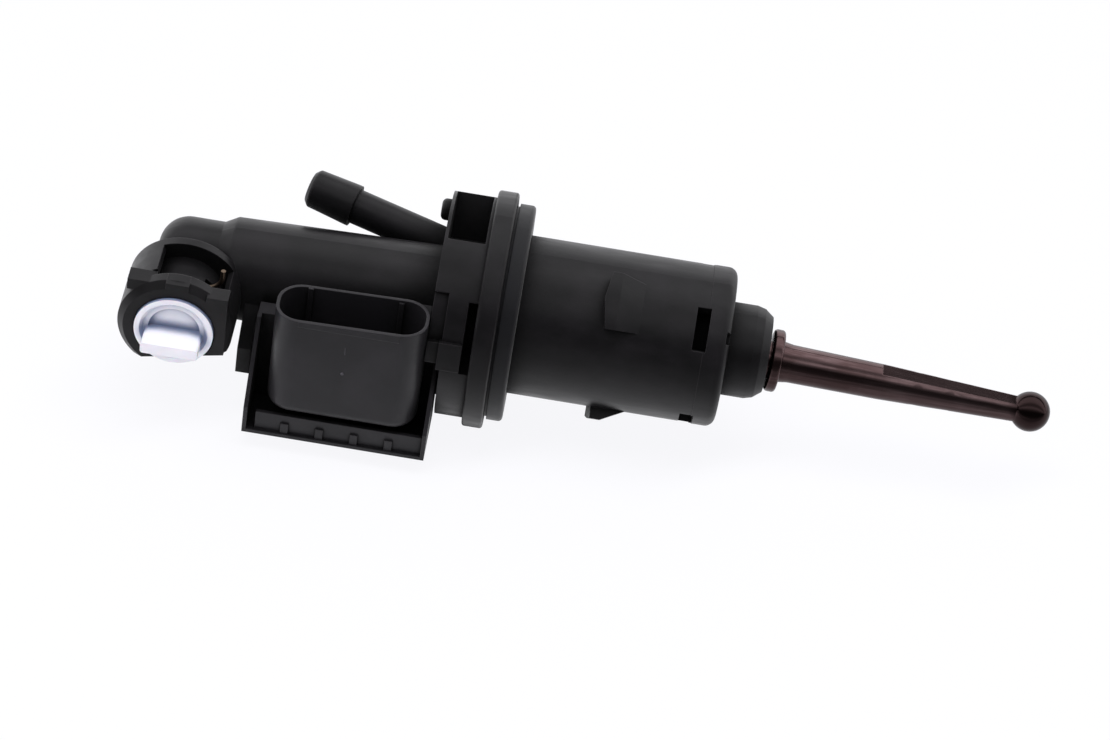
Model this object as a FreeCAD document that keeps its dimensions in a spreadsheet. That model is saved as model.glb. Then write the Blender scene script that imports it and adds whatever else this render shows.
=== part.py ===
"""Clutch master cylinder with a push rod, a position sensor and a plugged outlet.

+X runs along the cylinder axis towards the rod's ball, -Y is the way the
outlet faces and +Z is the way the sensor's socket opens. The origin lies on
the cylinder axis, in the front face of the mounting flange. Lengths are in
millimetres and angles in degrees.
"""
import FreeCAD, Part
import math
import operator
import os
import types

import Sketcher

os.makedirs("parts", exist_ok=True)
doc = FreeCAD.newDocument("clutch_master_cylinder")
sheet = doc.addObject("Spreadsheet::Sheet", "sizes")

# Driving sizes, a name and a number for each row of the sheet
SIZES = {
    # Fits, and how far a cut runs past a face or a boss into one
    "running_gap": 0.05,
    "seat_gap": 0.1,
    "loose_gap": 0.3,
    "overrun": 0.8,
    # Barrel and its pressure chamber
    "barrel_radius": 13.8,
    "barrel_front_radius": 12.55,
    "barrel_length": 67.3,
    "barrel_front_round": 1.2,
    "shoulder_length": 3.2,
    "chamber_wall": 2.5,
    "chamber_depth": 64.0,
    # Mounting flange, the drum behind it and the spigot in front of it
    "flange_radius": 29.45,
    "flange_thickness": 5.1,
    "flange_round": 0.7,
    "drum_radius": 27.5,
    "drum_length": 10.8,
    "spigot_radius": 15.7,
    "spigot_length": 12.0,
    # Cored pockets round the drum
    "pocket_floor": 16.0,
    "pocket_sweep": 55.0,
    "pocket_middle": 100.5,
    "pocket_spacing": 90.0,
    "pocket_count": 3,
    "pocket_wall": 0.8,
    # Latch finger, its slot and its pad on the front of the drum
    "latch_slot_width": 2.3,
    "latch_slot_floor": 19.0,
    "latch_slot_middle": 21.5,
    "latch_slot_sweep": 39.0,
    "latch_finger_width": 5.0,
    "latch_step": 1.5,
    "latch_step_middle": 31.0,
    "latch_step_sweep": 26.0,
    "latch_pad_height": 1.3,
    "latch_pad_width": 5.6,
    "latch_pad_middle": 11.7,
    "latch_pad_sweep": 14.7,
    # Post behind the drum
    "post_radius": 2.7,
    "post_length": 2.4,
    "post_round": 1.2,
    "post_back": 10.0,
    "post_up": 20.9,
    # Knuckle and outlet
    "knuckle_radius": 10.8,
    "knuckle_round": 7.3,
    "outlet_neck_radius": 8.8,
    "outlet_reach": 77.0,
    "outlet_length": 23.0,
    "collar_radius": 14.1,
    "collar_wall": 1.55,
    "collar_back": 9.0,
    "collar_plate": 2.4,
    "outlet_tube_radius": 10.0,
    "outlet_bore_radius": 6.6,
    "outlet_bore_back": 11.0,
    "outlet_passage_radius": 2.8,
    "collar_window_middle": 75.0,
    "collar_window_sweep": 80.0,
    # Reservoir hose nipple, out from the cylinder axis
    "nipple_angle": 148.0,
    "nipple_rise": 15.1,
    "nipple_root_out": 14.5,
    "nipple_neck_radius": 4.4,
    "nipple_neck_length": 25.0,
    "nipple_crest_radius": 5.3,
    "nipple_crest_land": 1.2,
    "nipple_tip_radius": 4.9,
    "nipple_end_radius": 3.8,
    "nipple_tip_run": 1.0,
    "nipple_tip_round": 0.8,
    "nipple_length": 37.1,
    "nipple_bore_radius": 2.2,
    "feed_radius": 1.5,
    "feed_out": 15.6,
    # Bracket rib beside the sensor
    "rib_back": 58.5,
    "rib_thickness": 3.4,
    "rib_front": 21.0,
    "rib_drop": 15.3,
    # Seals, their spacer and the guide bush
    "seal_radius": 13.2,
    "primary_seal_width": 5.0,
    "spacer_width": 6.0,
    "secondary_seal_width": 4.0,
    "seal_seat_back": 0.7,
    "bush_reach": 0.7,
    "seal_groove_depth": 2.6,
    "seal_lip": 1.1,
    "spacer_port_radius": 1.2,
    "spacer_groove_depth": 1.2,
    "spacer_ports": 6,
    # Guide sleeve
    "sleeve_radius": 19.7,
    "sleeve_wall": 3.0,
    "sleeve_length": 56.3,
    "sleeve_end_wall": 3.0,
    "sleeve_end_round": 2.4,
    "sleeve_band_rise": 0.15,
    "sleeve_band_start": 50.2,
    "lug_height": 3.0,
    "lug_start": 25.8,
    "lug_land": 2.5,
    "lug_length": 8.3,
    "lug_nose": 1.2,
    "lug_sweep": 38.0,
    "lug_angle": 58.0,
    "window_width": 3.4,
    "window_middle": 49.1,
    "window_sweep": 32.0,
    "window_angle": 49.5,
    "window_count": 4,
    "lug_count": 3,
    "rim_notch_angle": 46.0,
    "rim_notch_sweep": 9.0,
    "rim_notch_depth": 1.0,
    # Gasket on the flange
    "gasket_radius": 26.95,
    "gasket_thickness": 3.9,
    "gasket_gap": 0.7,
    "gasket_foot_radius": 26.2,
    "gasket_round": 1.0,
    # Stop ring inside the sleeve's end
    "stop_ring_width": 6.2,
    "stop_ring_wall": 1.6,
    # Piston
    "piston_radius": 9.525,
    "piston_nose_reach": 3.5,
    "spring_bore_radius": 7.2,
    "spring_bore_depth": 30.0,
    "nose_slot_width": 1.2,
    "nose_slot_depth": 0.6,
    "nose_slot_length": 4.6,
    "nose_slots": 6,
    "magnet_depth": 6.0,
    "magnet_radius": 8.5,
    # Piston tail and the stop flange on it
    "tail_radius": 11.6,
    "tail_reach": 10.4,
    "tail_taper_length": 4.2,
    "tail_end_radius": 9.4,
    "tail_flange_radius": 12.5,
    "tail_flange_width": 3.85,
    "tail_mouth_radius": 6.15,
    # Ball cup
    "cup_radius": 8.0,
    "cup_front": 6.5,
    "cup_rear": 3.5,
    "cup_split_width": 1.2,
    # Push rod
    "pivot_depth": 7.1,
    "rod_droop": 2.6,
    "rod_length": 97.4,
    "inner_ball_radius": 5.5,
    "rod_neck_radius": 3.1,
    "rod_neck_end": 9.0,
    "rod_shank_radius": 4.65,
    "rod_shank_start": 12.5,
    "collar_gap": 0.6,
    "rod_collar_radius": 7.8,
    "rod_collar_width": 2.9,
    "rod_collar_round": 0.9,
    "rod_flare_radius": 5.15,
    "rod_flare_length": 2.6,
    "rod_mid_radius": 4.75,
    "rod_taper_start": 59.3,
    "rod_taper_radius": 4.45,
    "rod_tip_radius": 3.1,
    "rod_flat_start": 3.95,
    "rod_flat_end": 2.7,
    "outer_ball_radius": 5.0,
    # Return spring
    "spring_wire_radius": 0.75,
    "spring_coil_radius": 6.2,
    "spring_turns": 9,
    # Outlet cap ring
    "cap_thickness": 4.3,
    "cap_opening": 9.95,
    "cap_front_round": 1.6,
    "cap_side_reach": 12.5,
    "cap_side_inner": 7.3,
    "cap_side_top": 11.6,
    "cap_foot_drop": 5.5,
    "cap_toe_reach": 4.9,
    "cap_toe_drop": 9.5,
    "cap_pad_half": 2.8,
    "cap_pad_top": 13.9,
    "cap_pad_low": 10.6,
    "cap_lobe_outer": 12.3,
    "cap_lobe_inner": 5.6,
    "cap_lobe_low": 9.2,
    "cap_lobe_top": 12.3,
    "cap_lobe_depth": 1.8,
    "cap_skirt": 1.4,
    # Outlet wire clip
    "clip_plane": 17.0,
    "clip_wire_radius": 0.6,
    "clip_half_width": 6.4,
    "clip_bow_reach": 12.9,
    "clip_bow_bend": 3.0,
    "clip_end_reach": 9.6,
    "clip_end_bend": 4.0,
    "clip_release": 2.0,
    "clip_slot_flare": 4.0,
    "clip_end_height": 12.2,
    "clip_slot_gap": 0.35,
    # Blanking plug in the outlet
    "plug_flange_radius": 9.7,
    "plug_flange_face": 28.0,
    "plug_flange_thickness": 2.2,
    "plug_rim_width": 1.3,
    "plug_dish_depth": 0.9,
    "plug_step_radius": 6.3,
    "plug_shank_radius": 6.35,
    "plug_shank_end": 12.2,
    "plug_tab_width": 14.0,
    "plug_tab_thickness": 3.0,
    "plug_tab_length": 5.9,
    "plug_tab_drop": 0.1,
    "plug_tab_round": 0.8,
    "plug_ring_plane": 14.2,
    "plug_ring_wire": 0.8,
    # Sensor housing, tray and socket
    "tray_gap": 0.6,
    "tray_length": 45.2,
    "tray_wall": 1.0,
    "tray_front": 31.6,
    "tray_floor_drop": 24.9,
    "tray_top": 2.4,
    "tray_side_knee": 17.0,
    "tray_side_back": 20.0,
    "tray_plate_front": 18.4,
    "tray_plate_back": 17.2,
    "tray_rim_back": 14.2,
    "sill_inset": 0.9,
    "sill_start": 3.0,
    "sill_height": 6.3,
    "sill_ribs": 4,
    "sill_rib_width": 1.9,
    "sill_rib_height": 3.6,
    "sill_rib_depth": 0.5,
    "sill_rib_pitch": 8.57,
    "sill_rib_start": 9.4,
    "socket_length": 37.0,
    "socket_depth": 14.3,
    "socket_start": 4.8,
    "socket_mouth": 13.2,
    "socket_bottom": 17.2,
    "socket_floor": 2.5,
    "socket_wall": 0.8,
    "socket_round": 6.2,
    "socket_bottom_round": 2.8,
    "corner_size": 6.4,
    "corner_drop": 1.0,
    "corner_low": 8.0,
    "mouth_fall": 1.0,
    "mouth_band_width": 2.3,
    "mouth_band_rise": 0.15,
    "key_width": 1.2,
    "key_depth": 0.5,
    "key_inset": 6.8,
    # Sensor terminals, board, chips and cover
    "pin_count": 5,
    "pin_pitch": 5.4,
    "pin_width": 1.5,
    "pin_thickness": 0.8,
    "pin_top": 4.0,
    "board_thickness": 1.0,
    "chip_length": 5.0,
    "chip_height": 4.0,
    "chip_thickness": 0.9,
    "chip_drop": 4.6,
    "chip_pitch": 14.0,
    "chip_count": 3,
    "cover_thickness": 0.9,
    "saddle_width": 4.3,
    "saddle_inset": 11.3,
    "saddle_spacing": 17.0,
    "saddle_reach": 5.1,
    "saddle_drop": 8.0,
}


class Size:
    """A size that carries its number and the words that read it from the sheet."""

    def __init__(self, number, text):
        self.number = float(number)
        self.text = text

    def __add__(self, other):
        return combined(self, "+", other, operator.add)

    def __radd__(self, other):
        return combined(other, "+", self, operator.add)

    def __sub__(self, other):
        return combined(self, "-", other, operator.sub)

    def __rsub__(self, other):
        return combined(other, "-", self, operator.sub)

    def __mul__(self, other):
        return combined(self, "*", other, operator.mul)

    def __rmul__(self, other):
        return combined(other, "*", self, operator.mul)

    def __truediv__(self, other):
        return combined(self, "/", other, operator.truediv)

    def __neg__(self):
        return combined(-1, "*", self, operator.mul)


def as_size(value):
    """Lets a plain number stand where a size is wanted."""
    if isinstance(value, Size):
        return value
    return Size(value, repr(float(value)))


def combined(left, sign, right, work):
    """Joins two sizes by a sign, as a number and as words."""
    left = as_size(left)
    right = as_size(right)
    return Size(work(left.number, right.number), f"({left.text} {sign} {right.text})")


def sine(angle):
    """Sine of a size in degrees."""
    return Size(math.sin(math.radians(angle.number)), f"sin({angle.text})")


def cosine(angle):
    """Cosine of a size in degrees."""
    return Size(math.cos(math.radians(angle.number)), f"cos({angle.text})")


s = types.SimpleNamespace()
for row, (name, number) in enumerate(SIZES.items(), start=1):
    sheet.set(f"A{row}", name)
    sheet.set(f"B{row}", str(number))
    sheet.setAlias(f"B{row}", name)
    setattr(s, name, Size(number, f"sizes.{name}"))
doc.recompute()

AXIS = {
    "x": FreeCAD.Vector(1, 0, 0),
    "y": FreeCAD.Vector(0, 1, 0),
    "z": FreeCAD.Vector(0, 0, 1),
}
TOUCH = 0.01


def bind(thing, prop, value):
    """Ties a property to the sheet, or sets it where it is a plain number."""
    value = as_size(value)
    if "sizes." in value.text:
        thing.setExpression(prop, value.text)
    else:
        setattr(thing, prop, value.number)


def new_body(name):
    """Starts a sub-part that is built up feature by feature."""
    body = doc.addObject("PartDesign::Body", name)
    body.Label = name
    return body


def origin_feature(body, role):
    """Finds a body's own origin plane or axis."""
    return next(part for part in body.Origin.OriginFeatures if part.Role == role)


def new_sketch(body, name, plane, lift=0, shift=0, tilt=0, tilt_axis="x"):
    """Puts a sketch on an origin plane, lifted along the plane's normal,
    shifted along its first direction and turned about one of its own."""
    sketch = body.newObject("Sketcher::SketchObject", f"{body.Name}_{name}")
    sketch.AttachmentSupport = [(origin_feature(body, plane), "")]
    sketch.MapMode = "FlatFace"
    tilt = as_size(tilt)
    axis = AXIS[tilt_axis]
    if tilt.number < 0:
        tilt = -tilt
        axis = -axis
    turn = FreeCAD.Rotation(axis, tilt.number)
    spot = FreeCAD.Vector(as_size(shift).number, 0, as_size(lift).number)
    sketch.AttachmentOffset = FreeCAD.Placement(spot, turn)
    for prop, value in (("Base.x", shift), ("Base.z", lift), ("Rotation.Angle", tilt)):
        value = as_size(value)
        if "sizes." in value.text:
            sketch.setExpression(f"AttachmentOffset.{prop}", value.text)
    return sketch


def tie(sketch, rule, value):
    """Adds a constraint whose value comes from the sheet."""
    number = sketch.addConstraint(rule)
    if "sizes." in as_size(value).text:
        sketch.setExpression(f"Constraints[{number}]", as_size(value).text)


def place(sketch, geometry, point, across, up):
    """Ties a point of a sketch to its distances from the sketch's origin."""
    for kind, value in (("DistanceX", across), ("DistanceY", up)):
        number = as_size(value).number
        tie(sketch, Sketcher.Constraint(kind, -1, 1, geometry, point, number), value)


def flat(across, up):
    """A point in a sketch's plane."""
    return FreeCAD.Vector(as_size(across).number, as_size(up).number, 0)


def outline(sketch, corners):
    """Draws a closed outline of straight edges through the corners."""
    first = sketch.GeometryCount
    points = [flat(across, up) for across, up in corners]
    for start, end in zip(points, points[1:] + points[:1]):
        sketch.addGeometry(Part.LineSegment(start, end), False)
    for index, (across, up) in enumerate(corners):
        before = first + (index - 1) % len(corners)
        sketch.addConstraint(Sketcher.Constraint("Coincident", before, 2, first + index, 1))
        place(sketch, first + index, 1, across, up)
    return sketch


def rectangle(sketch, left, right, low, high):
    """Draws an upright rectangle."""
    return outline(sketch, [(left, low), (right, low), (right, high), (left, high)])


def circle(sketch, across, up, radius):
    """Draws a circle."""
    ring = Part.Circle(flat(across, up), AXIS["z"], as_size(radius).number)
    geometry = sketch.addGeometry(ring, False)
    place(sketch, geometry, 3, across, up)
    tie(sketch, Sketcher.Constraint("Radius", geometry, as_size(radius).number), radius)
    return sketch


def bearing(middle, point):
    """Direction from a middle to a point, in radians."""
    return math.atan2(point.y - middle.y, point.x - middle.x)


def quarter(sketch, centre, start, end):
    """Draws a quarter circle round a centre, the short way from start to end."""
    middle = flat(*centre)
    if (flat(*start) - middle).cross(flat(*end) - middle).z < 0:
        start, end = end, start
    begin = bearing(middle, flat(*start))
    finish = bearing(middle, flat(*end))
    if finish < begin:
        finish += 2 * math.pi
    ring = Part.Circle(middle, AXIS["z"], (flat(*start) - middle).Length)
    arc = sketch.addGeometry(Part.ArcOfCircle(ring, begin, finish), False)
    place(sketch, arc, 3, *centre)
    place(sketch, arc, 1, *start)
    reach = flat(*end) - middle
    kind, value = ("DistanceY", end[1]) if abs(reach.x) > abs(reach.y) else ("DistanceX", end[0])
    tie(sketch, Sketcher.Constraint(kind, -1, 1, arc, 2, as_size(value).number), value)


def toward(corner, other, length):
    """The point at a length from a corner on the level or upright way to another."""
    step = flat(*other) - flat(*corner)
    if abs(step.x) > abs(step.y):
        return (corner[0] + math.copysign(1, step.x) * length, corner[1])
    return (corner[0], corner[1] + math.copysign(1, step.y) * length)


def bent_path(sketch, corners, bends):
    """Draws a path of level and upright runs whose corners are quarter bends."""
    begin = corners[0]
    for index, bend in enumerate(bends, start=1):
        corner = corners[index]
        leave = toward(corner, corners[index - 1], bend)
        join = toward(corner, corners[index + 1], bend)
        level = abs((flat(*leave) - flat(*corner)).x) > abs((flat(*leave) - flat(*corner)).y)
        centre = (leave[0], join[1]) if level else (join[0], leave[1])
        straight(sketch, begin, leave)
        quarter(sketch, centre, leave, join)
        begin = join
    straight(sketch, begin, corners[-1])
    return sketch


def straight(sketch, start, end, guide=False):
    """Draws a straight edge, or a guide line that a turned feature takes as axis."""
    line = sketch.addGeometry(Part.LineSegment(flat(*start), flat(*end)), guide)
    place(sketch, line, 1, *start)
    place(sketch, line, 2, *end)
    return line


def rounded_rectangle(sketch, left, right, low, high, radius):
    """Draws an upright rectangle whose corners are quarter circles."""
    corners = [(left, low), (right, low), (right, high), (left, high)]
    for index, corner in enumerate(corners):
        before = corners[index - 1]
        after = corners[(index + 1) % len(corners)]
        straight(sketch, toward(before, corner, radius), toward(corner, before, radius))
        inside_x = left + radius if corner[0] is left else right - radius
        inside_y = low + radius if corner[1] is low else high - radius
        start = toward(corner, before, radius)
        end = toward(corner, after, radius)
        quarter(sketch, (inside_x, inside_y), start, end)
    return sketch


def feature(body, kind, name, sketch, **settings):
    """Adds a feature made from a sketch and checks that it changed the body."""
    before = body.Shape.Volume if body.Tip and not body.Shape.isNull() else 0.0
    made = body.newObject(f"PartDesign::{kind}", f"{body.Name}_{name}")
    made.Profile = sketch
    for prop, value in settings.items():
        if isinstance(value, Size):
            bind(made, prop, value)
        else:
            setattr(made, prop, value)
    sketch.Visibility = False
    doc.recompute()
    after = body.Shape.Volume
    cuts = kind in ("Pocket", "Groove", "SubtractivePipe")
    if (after >= before - TOUCH) if cuts else (after <= before + TOUCH):
        raise RuntimeError(f"{made.Name} changed nothing: {before:.1f} to {after:.1f}")
    return made


def turned(body, name, sketch, axis="H_Axis", cut=False, sweep=360.0):
    """Turns an outline about a line of its sketch, to add or to cut."""
    kind = "Groove" if cut else "Revolution"
    partial = isinstance(sweep, Size) or sweep < 360
    return feature(
        body, kind, name, sketch,
        ReferenceAxis=(sketch, [axis]), Angle=sweep, Midplane=partial,
    )


def raised(body, name, sketch, length, middle=False):
    """Adds an outline's prism, along the normal or half each way."""
    return feature(body, "Pad", name, sketch, Length=length, Midplane=middle)


def sunk(body, name, sketch, length, middle=False):
    """Cuts an outline's prism, along the normal or half each way."""
    return feature(
        body, "Pocket", name, sketch,
        Length=length, Midplane=middle, Reversed=not middle,
    )


def repeated(body, name, originals, count, angle=360.0):
    """Repeats features round the cylinder axis, over its top from -Y to +Z."""
    before = body.Shape.Volume
    pattern = body.newObject("PartDesign::PolarPattern", f"{body.Name}_{name}")
    pattern.Originals = originals
    pattern.Axis = (origin_feature(body, "X_Axis"), [""])
    pattern.Reversed = True
    for prop, value in (("Angle", angle), ("Occurrences", count)):
        if isinstance(value, Size):
            pattern.setExpression(prop, value.text)
        else:
            setattr(pattern, prop, value)
    body.Tip = pattern
    doc.recompute()
    if abs(body.Shape.Volume - before) < TOUCH:
        raise RuntimeError(f"{pattern.Name} repeated nothing")
    return pattern


def reflected(body, name, originals, plane):
    """Mirrors features in one of the body's planes."""
    mirror = body.newObject("PartDesign::Mirrored", f"{body.Name}_{name}")
    mirror.Originals = originals
    mirror.MirrorPlane = (origin_feature(body, plane), [""])
    body.Tip = mirror
    doc.recompute()
    return mirror


def swept(body, name, profile, spine, cut=False):
    """Carries a profile along a path."""
    kind = "SubtractivePipe" if cut else "AdditivePipe"
    return feature(body, kind, name, profile, Spine=spine)


def softened(body, name, radius, wanted, kind="Fillet"):
    """Rounds or chamfers the edges that a test picks out."""
    base = body.Tip
    edges = [
        f"Edge{number}"
        for number, edge in enumerate(base.Shape.Edges, start=1)
        if wanted(edge)
    ]
    if not edges:
        raise RuntimeError(f"{body.Name}_{name} found no edge")
    made = body.newObject(f"PartDesign::{kind}", f"{body.Name}_{name}")
    made.Base = (base, edges)
    prop = "Radius" if kind == "Fillet" else "Size"
    bind(made, prop, radius)
    body.Tip = made
    doc.recompute()
    if "Invalid" in made.State or made.Shape.isNull() or not made.Shape.isValid():
        raise RuntimeError(f"{made.Name} failed on {edges}")
    return made


def ring_at(axis, place_along, radius):
    """A test for circular edges round an axis, at a place along it."""
    place_along = as_size(place_along).number
    radius = as_size(radius).number

    def wanted(edge):
        curve = edge.Curve
        if not isinstance(curve, Part.Circle) or abs(curve.Radius - radius) > TOUCH:
            return False
        return abs(getattr(curve.Center, axis) - place_along) < TOUCH

    return wanted


def moved_along(origin, angle, steps):
    """Turns (along, out) steps from an origin in a sketch into its corners.

    Along runs back from the origin, towards -x, and rises by the angle; out is
    square to it.
    """
    start, height = origin
    corners = []
    for along, out in steps:
        across = start - along * cosine(angle) + out * sine(angle)
        up = height + along * sine(angle) + out * cosine(angle)
        corners.append((across, up))
    return corners


# Places along the cylinder axis that several pieces share
flange_back = -s.flange_thickness
drum_back = flange_back - s.drum_length
stack_front = drum_back - s.seal_seat_back
primary_back = stack_front + s.primary_seal_width
spacer_back = primary_back + s.spacer_width
secondary_back = spacer_back + s.secondary_seal_width
bush_end = s.spigot_length + s.bush_reach
stop_ring_front = s.sleeve_length - s.sleeve_end_wall - s.running_gap - s.stop_ring_width
tail_flange_back = stop_ring_front - s.seat_gap
piston_back = tail_flange_back - s.tail_flange_width
piston_nose = stack_front - s.piston_nose_reach
pivot = piston_back - s.pivot_depth
tail_end = s.sleeve_length + s.tail_reach
chamber_end = -s.chamber_depth
sleeve_bore = s.sleeve_radius - s.sleeve_wall

# Places on the outlet and the sensor that several pieces share
outlet_axis = -s.outlet_reach
knuckle_end = outlet_axis - s.outlet_neck_radius
lobe_back = s.outlet_length - s.cap_lobe_depth
cap_back = s.outlet_length + s.running_gap
cap_front = s.outlet_length + s.cap_thickness
tray_left = -s.rib_back + s.tray_gap
tray_right = tray_left + s.tray_length
socket_left = tray_left + s.socket_start
socket_right = socket_left + s.socket_length
socket_back = -s.tray_front + s.socket_depth
socket_middle = -s.tray_front + s.socket_depth / 2
pin_root = -s.socket_bottom + s.socket_floor / 2


def round_the_axis(body, name, angle):
    """A sketch through the cylinder axis, turned to an angle from -Y towards +Z."""
    return new_sketch(body, name, "XZ_Plane", tilt=90 - angle)


def ring_sector(body, name, angle, sweep, back, front, low, high, cut=False):
    """Adds or cuts part of a ring round the cylinder axis, centred on an angle."""
    profile = rectangle(round_the_axis(body, f"{name}_profile", angle), back, front, low, high)
    return turned(body, name, profile, cut=cut, sweep=sweep)


def drum_and_barrel(body):
    """Knuckle, barrel, drum, mounting flange and spigot, turned in one go."""
    profile = outline(new_sketch(body, "barrel_profile", "XZ_Plane"), [
        (knuckle_end, 0),
        (knuckle_end, s.knuckle_radius),
        (-s.barrel_length - s.shoulder_length, s.knuckle_radius),
        (-s.barrel_length, s.barrel_front_radius),
        (drum_back, s.barrel_radius),
        (drum_back, s.drum_radius),
        (flange_back, s.drum_radius),
        (flange_back, s.flange_radius),
        (0, s.flange_radius),
        (0, s.spigot_radius),
        (s.spigot_length, s.spigot_radius),
        (s.spigot_length, 0),
    ])
    turned(body, "barrel", profile)
    softened(body, "flange_rim", s.flange_round, ring_at("x", 0, s.flange_radius))
    softened(body, "flange_back_rim", s.flange_round, ring_at("x", flange_back, s.flange_radius))
    front_rim = ring_at("x", -s.barrel_length, s.barrel_front_radius)
    softened(body, "barrel_front", s.barrel_front_round, front_rim)
    knuckle_rim = ring_at("x", knuckle_end, s.knuckle_radius)
    softened(body, "knuckle_end", s.knuckle_round, knuckle_rim)


def outlet_and_collar(body):
    """Outlet that leaves the knuckle sideways, and the collar round it."""
    shell = s.collar_radius - s.collar_wall
    collar = outline(new_sketch(body, "collar_profile", "XY_Plane", shift=outlet_axis), [
        (0, 0),
        (s.outlet_neck_radius, 0),
        (s.outlet_neck_radius, -s.collar_back),
        (s.collar_radius, -s.collar_back),
        (s.collar_radius, -s.outlet_length),
        (shell, -s.outlet_length),
        (shell, -s.collar_back - s.collar_plate),
        (s.outlet_tube_radius, -s.collar_back - s.collar_plate),
        (s.outlet_tube_radius, -s.outlet_length),
        (0, -s.outlet_length),
    ])
    turned(body, "collar", collar, axis="V_Axis")


def hose_nipple(body):
    """Nipple for the reservoir hose, leaning out from the drum's back face."""
    root = (drum_back, s.nipple_root_out)
    crest_end = s.nipple_neck_length + s.nipple_crest_land
    profile = round_the_axis(body, "nipple_profile", s.nipple_angle)
    outline(profile, moved_along(root, s.nipple_rise, [
        (-s.nipple_neck_radius, 0),
        (-s.nipple_neck_radius, s.nipple_neck_radius),
        (s.nipple_neck_length, s.nipple_neck_radius),
        (s.nipple_neck_length, s.nipple_crest_radius),
        (crest_end, s.nipple_crest_radius),
        (s.nipple_length - s.nipple_tip_run, s.nipple_tip_radius),
        (s.nipple_length, s.nipple_end_radius),
        (s.nipple_length, 0),
    ]))
    straight(profile, *moved_along(root, s.nipple_rise, [(0, 0), (s.nipple_length, 0)]), guide=True)
    turned(body, "nipple", profile, axis="Axis0")
    softened(body, "nipple_tip", s.nipple_tip_round, lambda edge: (
        isinstance(edge.Curve, Part.Circle)
        and abs(edge.Curve.Radius - s.nipple_tip_radius.number) < TOUCH
    ))


def rib_and_post(body):
    """Rib that ends the sensor's seat, and the small post behind the drum."""
    rib = outline(new_sketch(body, "rib_outline", "YZ_Plane", lift=-s.rib_back - s.rib_thickness), [
        (-s.rib_front, -s.rib_drop),
        (-s.rib_front, -s.rib_drop / 2),
        (-s.barrel_front_radius, 0),
        (0, -s.barrel_front_radius / 2),
        (-s.barrel_front_radius / 2, -s.rib_drop),
    ])
    raised(body, "rib", rib, s.rib_thickness)
    post = circle(
        new_sketch(body, "post_outline", "YZ_Plane", lift=drum_back - s.post_length),
        s.post_back, s.post_up, s.post_radius,
    )
    raised(body, "post", post, s.post_length + s.overrun)
    softened(body, "post_end", s.post_round, ring_at("x", drum_back - s.post_length, s.post_radius))


def drum_details(body):
    """Cored pockets round the drum, the latch finger on its front and the
    notch that the sensor's tray ends in."""
    pocket = ring_sector(
        body, "pocket", s.pocket_middle, s.pocket_sweep,
        drum_back + s.pocket_wall, flange_back - s.pocket_wall,
        s.pocket_floor, s.flange_radius, cut=True,
    )
    repeated(body, "pockets", [pocket], s.pocket_count, angle=2 * s.pocket_spacing)
    ring_sector(
        body, "latch_slot", s.latch_slot_middle, s.latch_slot_sweep,
        flange_back - s.latch_slot_width, flange_back,
        s.latch_slot_floor, s.flange_radius, cut=True,
    )
    finger_back = flange_back - s.latch_slot_width - s.latch_finger_width
    notch = rectangle(
        new_sketch(body, "notch_outline", "XZ_Plane", lift=s.tray_rim_back - s.seat_gap),
        drum_back - s.overrun, tray_right + s.tray_gap,
        -s.drum_radius, s.tray_top + s.tray_gap,
    )
    sunk(body, "notch", notch, s.drum_radius)
    ring_sector(
        body, "latch_step", s.latch_step_middle, s.latch_step_sweep,
        drum_back - s.overrun, finger_back,
        s.drum_radius - s.latch_step, s.flange_radius, cut=True,
    )
    ring_sector(
        body, "latch_pad", s.latch_pad_middle, s.latch_pad_sweep,
        flange_back - s.latch_slot_width - s.latch_pad_width, flange_back - s.latch_slot_width,
        s.drum_radius - s.latch_pad_height, s.drum_radius + s.latch_pad_height,
    )


def collar_openings(body):
    """Windows in the collar, above and below, and the slots for the wire clip."""
    shell = s.collar_radius - s.collar_wall
    sketch = new_sketch(
        body, "window_profile", "XY_Plane",
        shift=outlet_axis, tilt=-s.collar_window_middle, tilt_axis="y",
    )
    rectangle(
        sketch, shell - s.seat_gap, s.collar_radius + s.overrun,
        -s.outlet_length - s.overrun, -s.collar_back - s.collar_plate,
    )
    window = turned(body, "window", sketch, axis="V_Axis", cut=True, sweep=s.collar_window_sweep)
    reflected(body, "windows", [window], "XY_Plane")
    outer = s.clip_half_width + s.clip_wire_radius + s.clip_slot_gap
    inner = s.clip_half_width - s.clip_wire_radius - s.clip_slot_gap
    right = s.clip_end_reach + s.clip_wire_radius
    left = -s.collar_radius - s.overrun
    bow = s.clip_bow_bend - s.clip_bow_reach
    flare = s.clip_end_reach - s.clip_end_bend - s.clip_release
    slot = outline(
        new_sketch(body, "slot_outline", "XZ_Plane", lift=s.clip_plane, shift=outlet_axis),
        [(left, -outer), (flare, -outer), (right, -outer - s.clip_slot_flare), (right, -inner),
         (bow, -inner), (bow, inner), (right, inner), (right, outer + s.clip_slot_flare),
         (flare, outer), (left, outer)],
    )
    width = 2 * (s.clip_wire_radius + s.seat_gap)
    sunk(body, "clip_slots", slot, width, middle=True)
    lobe_gap = rectangle(
        new_sketch(body, "lobe_gap_outline", "XZ_Plane", lift=lobe_back - s.loose_gap, shift=outlet_axis),
        -s.collar_radius - s.overrun, -s.cap_lobe_inner + s.loose_gap,
        s.cap_lobe_low - s.loose_gap, s.collar_radius + s.overrun,
    )
    sunk(body, "lobe_gap", lobe_gap, s.cap_lobe_depth + s.overrun)


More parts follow.
